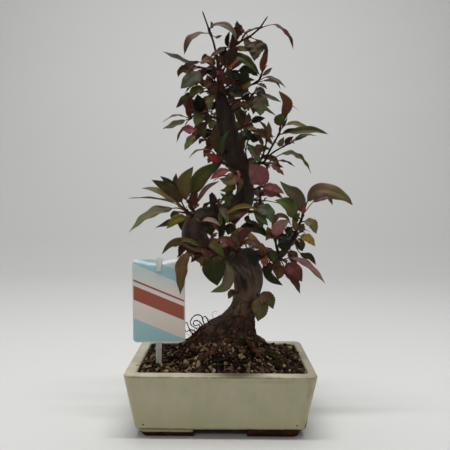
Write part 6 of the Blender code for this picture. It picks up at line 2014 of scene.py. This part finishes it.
def scatter_tree(name, finish):
    """Geometry nodes that strew a collection over a surface, by its cover attribute."""
    tree = bpy.data.node_groups.new(name, "GeometryNodeTree")
    inputs = {"Ground": "Geometry", "Pieces": "Collection", "Seed": "Int"}
    inputs.update(dict.fromkeys(("Spacing", "Crowd", "Smallest", "Largest", "Tumble", "Sink"), "Float"))
    for title, kind in inputs.items():
        tree.interface.new_socket(name=title, in_out="INPUT", socket_type="NodeSocket" + kind)
    tree.interface.new_socket(name="Strewn", in_out="OUTPUT", socket_type="NodeSocketGeometry")
    g = Graph(tree)
    given = g.node("NodeGroupInput")
    seed, tumble, smallest = given.other("Seed"), given.other("Tumble"), given.other("Smallest")
    single = {"data_type": "FLOAT"}
    cover = g.node("GeometryNodeInputNamedAttribute", single, {"Name": "cover"})
    points = g.node(
        "GeometryNodeDistributePointsOnFaces",
        {"distribute_method": "POISSON"},
        {
            "Mesh": given.other("Ground"),
            "Distance Min": given.other("Spacing"),
            "Density Max": given.other("Crowd"),
            "Density Factor": cover,
            "Seed": seed,
        },
    )
    turn = g.node(
        "FunctionNodeRandomValue",
        {"data_type": "FLOAT_VECTOR"},
        {0: (-1, -1, -math.pi), 1: (1, 1, math.pi), "Seed": seed + 1},
    )
    shares = g.node("ShaderNodeCombineXYZ", None, {0: tumble, 1: tumble, 2: 1})
    pose = g.node("FunctionNodeEulerToRotation", None, {0: g.vector_maths("MULTIPLY", turn, shares)})
    upright = points.other("Rotation")
    rotation = g.node("FunctionNodeRotateRotation", {"rotation_space": "LOCAL"}, {0: upright, 1: pose})
    draw = g.node("FunctionNodeRandomValue", single, {2: 0, 3: 1, "Seed": seed + 2}, 1)
    size = smallest + (given.other("Largest") - smallest) * draw**2.2
    pieces = {"Collection": given.other("Pieces"), "Separate Children": True, "Reset Children": True}
    down = g.node("ShaderNodeCombineXYZ", None, {2: given.other("Sink") * size})
    strewn = g.node(
        "GeometryNodeInstanceOnPoints",
        None,
        {
            "Points": g.node("GeometryNodeSetPosition", None, {"Geometry": points, "Offset": down}),
            "Instance": g.node("GeometryNodeCollectionInfo", None, pieces),
            "Pick Instance": True,
            "Rotation": rotation,
            "Scale": size,
        },
    )
    tint = g.node("FunctionNodeRandomValue", single, {2: 0, 3: 1, "Seed": seed + 3}, 1)
    marked = g.node(
        "GeometryNodeStoreNamedAttribute",
        {"data_type": "FLOAT", "domain": "INSTANCE"},
        {"Geometry": strewn, "Name": "draw", "Value": tint},
    )
    whole = g.node("GeometryNodeRealizeInstances", None, {"Geometry": marked})
    dressed = g.node("GeometryNodeSetMaterial", None, {"Geometry": whole, "Material": finish})
    g.node("NodeGroupOutput", None, {"Strewn": dressed})
    return tree


def set_inputs(modifier, **values):
    """Gives a geometry-nodes modifier its named inputs, by the sockets' identifiers."""
    for item in modifier.node_group.interface.items_tree:
        if item.item_type == "SOCKET" and item.in_out == "INPUT" and item.name in values:
            modifier[item.identifier] = values[item.name]


def strew(name, ground, share, pieces, finish, **sizes):
    """Lays many small pieces on a copy of the ground, by their share at each point, as one mesh."""
    patch = placed(name + "_ground", ground.copy())
    cover = patch.data.attributes.new("cover", "FLOAT", "POINT")
    cover.data.foreach_set("value", [share(vertex.co) for vertex in patch.data.vertices])
    modifier = patch.modifiers.new("strew", "NODES")
    modifier.node_group = scatter_tree(name + "_tree", finish)
    set_inputs(modifier, Pieces=pieces, **sizes)
    mesh = evaluated(patch)
    patch.modifiers.remove(modifier)
    discard(patch)
    for obj in list(pieces.objects):
        discard(obj)
    bpy.data.collections.remove(pieces)
    mesh.materials.clear()
    piece = show(name, mesh, [finish], sharp=40)
    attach(piece, "root")


def foot_patch(skin):
    """The trunk's foot as a mesh of its own."""
    bm = skin.copy()
    high = [face for face in bm.faces if face.calc_center_median().z > FOOT_TOP]
    bmesh.ops.delete(bm, geom=high, context="FACES")
    return settled("foot", bm)


def wander(start, heading, length, bend, draw):
    """A wandering path through the air that slowly sinks."""
    points = [np.asarray(start, float)]
    way = unit(np.asarray(heading, float))
    steps = max(8, int(length / 1.3))
    axis = unit(draw.normal(size=3))
    for _ in range(steps):
        way = unit(way + np.cross(axis, way) * bend + draw.normal(size=3) * 0.16 + [0, 0, -0.05])
        axis = unit(axis + draw.normal(size=3) * 0.22)
        points.append(points[-1] + way * length / steps)
    return points


def creep(tree, start, heading, length, lift, draw):
    """A path that clings to a surface as it wanders."""
    hit, normal, _, _ = tree.find_nearest(Vector(start))
    way = np.asarray(heading, float)
    points = []
    for step in range(max(6, int(length / 1.6))):
        up = np.array(normal)
        points.append(np.array(hit) + up * (lift + 0.35 * math.sin(step * 0.9 + lift * 40)))
        way = unit(way + draw.normal(size=3) * 0.36)
        way = unit(way - up * float(way @ up))
        hit, normal, _, _ = tree.find_nearest(Vector(np.array(hit) + way * 1.6))
    return points


def on_soil(path):
    """A path laid on the open soil."""
    points = []
    for step, (x, y, _) in enumerate(path):
        x, y = clamped(x, -SOIL_SIDE, SOIL_SIDE), clamped(y, -SOIL_FRONT, SOIL_FRONT)
        points.append((x, y, soil_height(x, y) + 0.7 + 0.8 * math.sin(step * 0.5)))
    return points


def make_rootlets(skin, finishes, draw):
    """Fine dry roots: loops in the air at the trunk's left foot, a mat over the cone, strands on the soil."""
    sheaf = Sheaf()
    for curl in CURLS:
        places, _ = smooth_path([seen(point) for point in curl], np.linspace(0, 1, 6 * len(curl)))
        places = places + 0.25 * draw.normal(size=places.shape)
        sheaf.add_tube(places, np.linspace(0.85, 0.5, len(places)), 6, 1)
    for _ in range(AIR_STRANDS):
        height = 90 + 26 * draw.random()
        start = (np.interp(height, CONE_LEVELS, CONE_EDGES) + 4, -14 + 20 * draw.random(), height)
        heading = (-1, draw.normal() * 0.6, 0.1 + draw.normal() * 0.7)
        path = wander(start, heading, 8 + 16 * draw.random(), 0.34, draw)
        sheaf.add_tube(path, np.linspace(0.34, 0.14, len(path)), 5)
    tree = BVHTree.FromBMesh(skin)
    for _ in range(MAT_STRANDS):
        turn = 2 * math.pi * draw.random()
        height = 84 + 46 * draw.random()
        start = (8 + 60 * math.cos(turn), 60 * math.sin(turn), height)
        heading = (0.8 * draw.normal() - 0.6, 0.8 * draw.normal(), -0.8)
        path = creep(tree, start, heading, 10 + 26 * draw.random(), 0.4 + 0.7 * draw.random(), draw)
        thick = 0.3 + 0.6 * draw.random() ** 2
        sheaf.add_tube(path, np.linspace(thick, thick * 0.4, len(path)), 4)
    for _ in range(GROUND_STRANDS):
        start = (-84 + 172 * draw.random(), -60 + 118 * draw.random(), 0)
        path = on_soil(wander(start, (*draw.normal(size=2), 0), 8 + 18 * draw.random(), 0.16, draw))
        sheaf.add_tube(path, np.linspace(0.55, 0.2, len(path)), 5)
    piece = sheaf.piece("fine_roots", finishes)
    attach(piece, "root")


def make_ground_cover(crust, trunk, twig):
    """Stones, grit, bark and moss on the soil and the trunk's foot, and the fine roots over both."""
    skin = bmesh.new()
    skin.from_mesh(trunk.data)
    bmesh.ops.transform(skin, matrix=PLACE.inverted(), verts=skin.verts)
    foot = foot_patch(skin)
    grit, pebble = pebble_finish("grit", 0.72), pebble_finish("pebble", 0.5)
    strew(
        "pebbles", crust, pebble_ground, lumps("pebble", 8, 2, ROUND_STONE, 0.42, 3), pebble,
        Spacing=3.0, Crowd=0.1, Smallest=1.9, Largest=6.8, Tumble=0.5, Sink=0.14, Seed=11,
    )
    strew(
        "grit", crust, open_ground, lumps("grain", 6, 1, FLAT_GRAIN, 0.5, 8), grit,
        Spacing=1.3, Crowd=0.3, Smallest=0.7, Largest=2.4, Tumble=1.0, Sink=0.2, Seed=5,
    )
    strew(
        "bark_chips", crust, open_ground, slivers("sliver", 9, RNG), chip_finish(),
        Spacing=3.8, Crowd=0.08, Smallest=3.0, Largest=13.0, Tumble=0.75, Sink=0.18, Seed=23,
    )
    strew(
        "moss_tufts", crust, moss_ground, tufts("tuft", 6, 7, RNG), moss_finish(),
        Spacing=0.75, Crowd=2.0, Smallest=1.3, Largest=3.4, Tumble=0.35, Sink=0.05, Seed=31,
    )
    strew(
        "foot_pebbles", foot, foot_ground, lumps("foot_pebble", 5, 2, ROUND_STONE, 0.42, 5), pebble,
        Spacing=3.2, Crowd=0.1, Smallest=1.4, Largest=5.0, Tumble=0.4, Sink=0.0, Seed=17,
    )
    strew(
        "foot_crumbs", foot, foot_ground, lumps("foot_crumb", 5, 1, FLAT_GRAIN, 0.5, 2), grit,
        Spacing=1.15, Crowd=0.66, Smallest=0.75, Largest=2.8, Tumble=1.0, Sink=0.0, Seed=19,
    )
    bpy.data.meshes.remove(foot)
    bpy.data.meshes.remove(crust)
    make_rootlets(skin, [rootlet_finish(), twig], RNG)
    skin.free()


# Label


STRIP_SECTION = [(-0.92, 1), (-1, 0.6), (-1, -0.6), (-0.92, -1), (0.92, -1), (1, -0.6), (1, 0.6), (0.92, 1)]
SOFTBOXES = {
    "overhead": ((-0.03, -0.23, 1.6), (-0.03, 0.05, 0), (1.3, 0.08), 12.8),
    "back_overhead": ((-0.03, 0.35, 1.6), (-0.03, 0.05, 0), (1.3, 0.8), 9.7),
    "front_high": ((-0.5, -1.5, 1.35), (0, 0, 0.2), (1.2, 0.5), 5),
    "left_fill": ((-1.5, 0.45, 0.4), (0, 0, 0.1), (1, 0.8), 2.6),
    "right_fill": ((1.5, 0.45, 0.4), (0, 0, 0.1), (1, 0.8), 2.6),
}


def curled(depth, high, x=0):
    """Where the card's wavy curl to the back takes a point, from its place on the flat card."""
    over = high - CARD_CURL_FROM + CARD_CURL_WAVE * math.cos((x + 3) / 8)
    if over <= 0:
        return depth, high
    turn = over / CARD_CURL_RADIUS
    reach = CARD_CURL_RADIUS - depth
    return CARD_CURL_RADIUS - reach * math.cos(turn), high - over + reach * math.sin(turn)


def make_card():
    """A thin card with eased edges and round corners, printed on both faces and curled back at the top."""
    half_x, half_z, thick = CARD_WIDTH / 2, CARD_HEIGHT / 2, CARD_THICKNESS / 2
    corner = [CARD_CORNER * (1 - math.cos(math.pi / 2 * step / 8)) for step in range(9)]
    heights = [-half_z + rise for rise in corner]
    heights += list(np.linspace(-half_z + CARD_CORNER + 4, CARD_CURL_FROM - 4, 14))
    heights += list(np.linspace(CARD_CURL_FROM - 3, half_z - CARD_CORNER - 0.5, 12))
    heights += [half_z - rise for rise in reversed(corner)]
    columns = np.linspace(-1, 1, 15)
    lean = math.cos(CARD_LEAN), math.sin(CARD_LEAN)
    vertices, maps = [], []
    for high in heights:
        short = max(0, abs(high) - (half_z - CARD_CORNER))
        wide = half_x - CARD_CORNER + math.sqrt(max(0, CARD_CORNER**2 - short**2))
        ring = [(x * (wide - 0.2), -thick) for x in columns] + [(wide, 0)]
        ring += [(-x * (wide - 0.2), thick) for x in columns] + [(-wide, 0)]
        for x, depth in ring:
            deep, up = curled(depth, high, x)
            vertices.append((x * lean[0] - up * lean[1], deep, x * lean[1] + up * lean[0]))
            maps.append((x / CARD_WIDTH + 0.5, high / CARD_HEIGHT + 0.5))
    sheaf = Sheaf()
    faces = ring_faces(len(heights), 2 * len(columns) + 2)
    sheaf.add(np.array(vertices) + CARD_CENTRE, faces, 0, np.array(maps))
    card = sheaf.piece("label_print", [card_finish()])
    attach(card, "root")
    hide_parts("label_card")


def make_stake():
    """A clear strip behind the card, which hooks over its top edge."""
    x, y, z = CARD_CENTRE
    half = STAKE_THICKNESS / 2
    behind = CARD_THICKNESS / 2 + TOUCH + half
    top = CARD_HEIGHT / 2 + 0.5
    line = [(behind, high) for high in np.linspace(STAKE_BOTTOM - z, CARD_CURL_FROM, 14)]
    line += [(behind, high) for high in np.linspace(CARD_CURL_FROM + 1, top, 9)]
    for turn in np.linspace(0.5, math.pi - 0.5, 5):
        line.append((behind * math.cos(turn), top + behind * math.sin(turn)))
    line += [(-behind, high) for high in np.linspace(top, top - STAKE_CLIP, 12)]
    line = np.array([curled(depth, high) for depth, high in line])
    ahead = np.gradient(line, axis=0)
    ahead /= np.linalg.norm(ahead, axis=1)[:, None]
    vertices = []
    for (deep, high), (run, climb) in zip(line, ahead):
        for across, off in STRIP_SECTION:
            out = off * half
            vertices.append((x + across * STAKE_WIDTH / 2, y + deep + climb * out, z + high - run * out))
    sheaf = Sheaf()
    sheaf.add(np.array(vertices), ring_faces(len(line), len(STRIP_SECTION)), 0)
    stake = sheaf.piece("clear_stake", [stake_finish()])
    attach(stake, "root")
    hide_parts("label_stake")


# Studio


def make_sweep():
    """A paper sweep: a floor that curves up into a wall behind the pot."""
    turn, radius, high, front, half = 0.62, 0.9, 3.4, -6, 6
    profile = [(front, 0), (turn * 0.5, 0)]
    for step in range(25):
        angle = math.pi / 2 * step / 24
        profile.append((turn + radius * math.sin(angle), radius * (1 - math.cos(angle))))
    profile.append((turn + radius, high))
    vertices = [(side * half, y, z) for side in (-1, 1) for y, z in profile]
    count = len(profile)
    faces = [[i, count + i, count + i + 1, i + 1] for i in range(count - 1)]
    mesh = plain_mesh("studio_sweep", vertices, faces)
    mesh.shade_smooth()
    mesh.materials.append(sweep_finish())
    sweep = placed("studio_sweep", mesh)


def add_softbox(name, location, target, size, power):
    light = bpy.data.lights.new(name, "AREA")
    light.shape = "RECTANGLE"
    light.size, light.size_y = size
    light.energy = power
    lamp = placed(name, light)
    lamp.location = location
    lamp.rotation_euler = (Vector(target) - Vector(location)).to_track_quat("-Z", "Y").to_euler()


def light_studio():
    world = bpy.data.worlds.new("studio")
    world.use_nodes = True
    background = world.node_tree.nodes["Background"]
    background.inputs["Color"].default_value = (1, 1, 0.98, 1)
    background.inputs["Strength"].default_value = 0.13
    bpy.context.scene.world = world
    for name, (location, target, size, power) in SOFTBOXES.items():
        add_softbox(name, location, target, size, power)


def set_camera():
    """The photograph's view of the pot."""
    camera = placed("camera", bpy.data.cameras.new("camera"))
    camera.data.sensor_width = CAMERA_FILM
    camera.data.lens = CAMERA_LENS
    camera.data.clip_start = 0.01
    pitch, roll = math.radians(CAMERA_PITCH), math.radians(CAMERA_ROLL)
    forward = Vector((0, math.cos(pitch), -math.sin(pitch)))
    right = Vector((1, 0, 0))
    up = right.cross(forward)
    rolled_right = right * math.cos(roll) + up * math.sin(roll)
    rolled_up = up * math.cos(roll) - right * math.sin(roll)
    turn = Matrix((rolled_right, rolled_up, -forward)).transposed().to_4x4()
    turn.translation = Vector(VIEW_POINT) * MM + POT_MIDDLE
    camera.matrix_world = turn
    bpy.context.scene.camera = camera
    bpy.context.scene.view_settings.view_transform = "Standard"


set_camera()
light_studio()
make_sweep()
LEAF_FINISHES = [twig_finish(), stalk_finish(), leaf_finish("leaf_face"), leaf_finish("leaf_back", True)]
make_laid_out_sprays(LEAF_FINISHES)
make_inner_sprays(LEAF_FINISHES)
make_back_sprays(LEAF_FINISHES)
TRUNK = make_trunk()
make_pot()
make_screens(screen_finish())
CRUST = make_soil()
make_ground_cover(CRUST, TRUNK, LEAF_FINISHES[TWIG])
make_card()
make_stake()
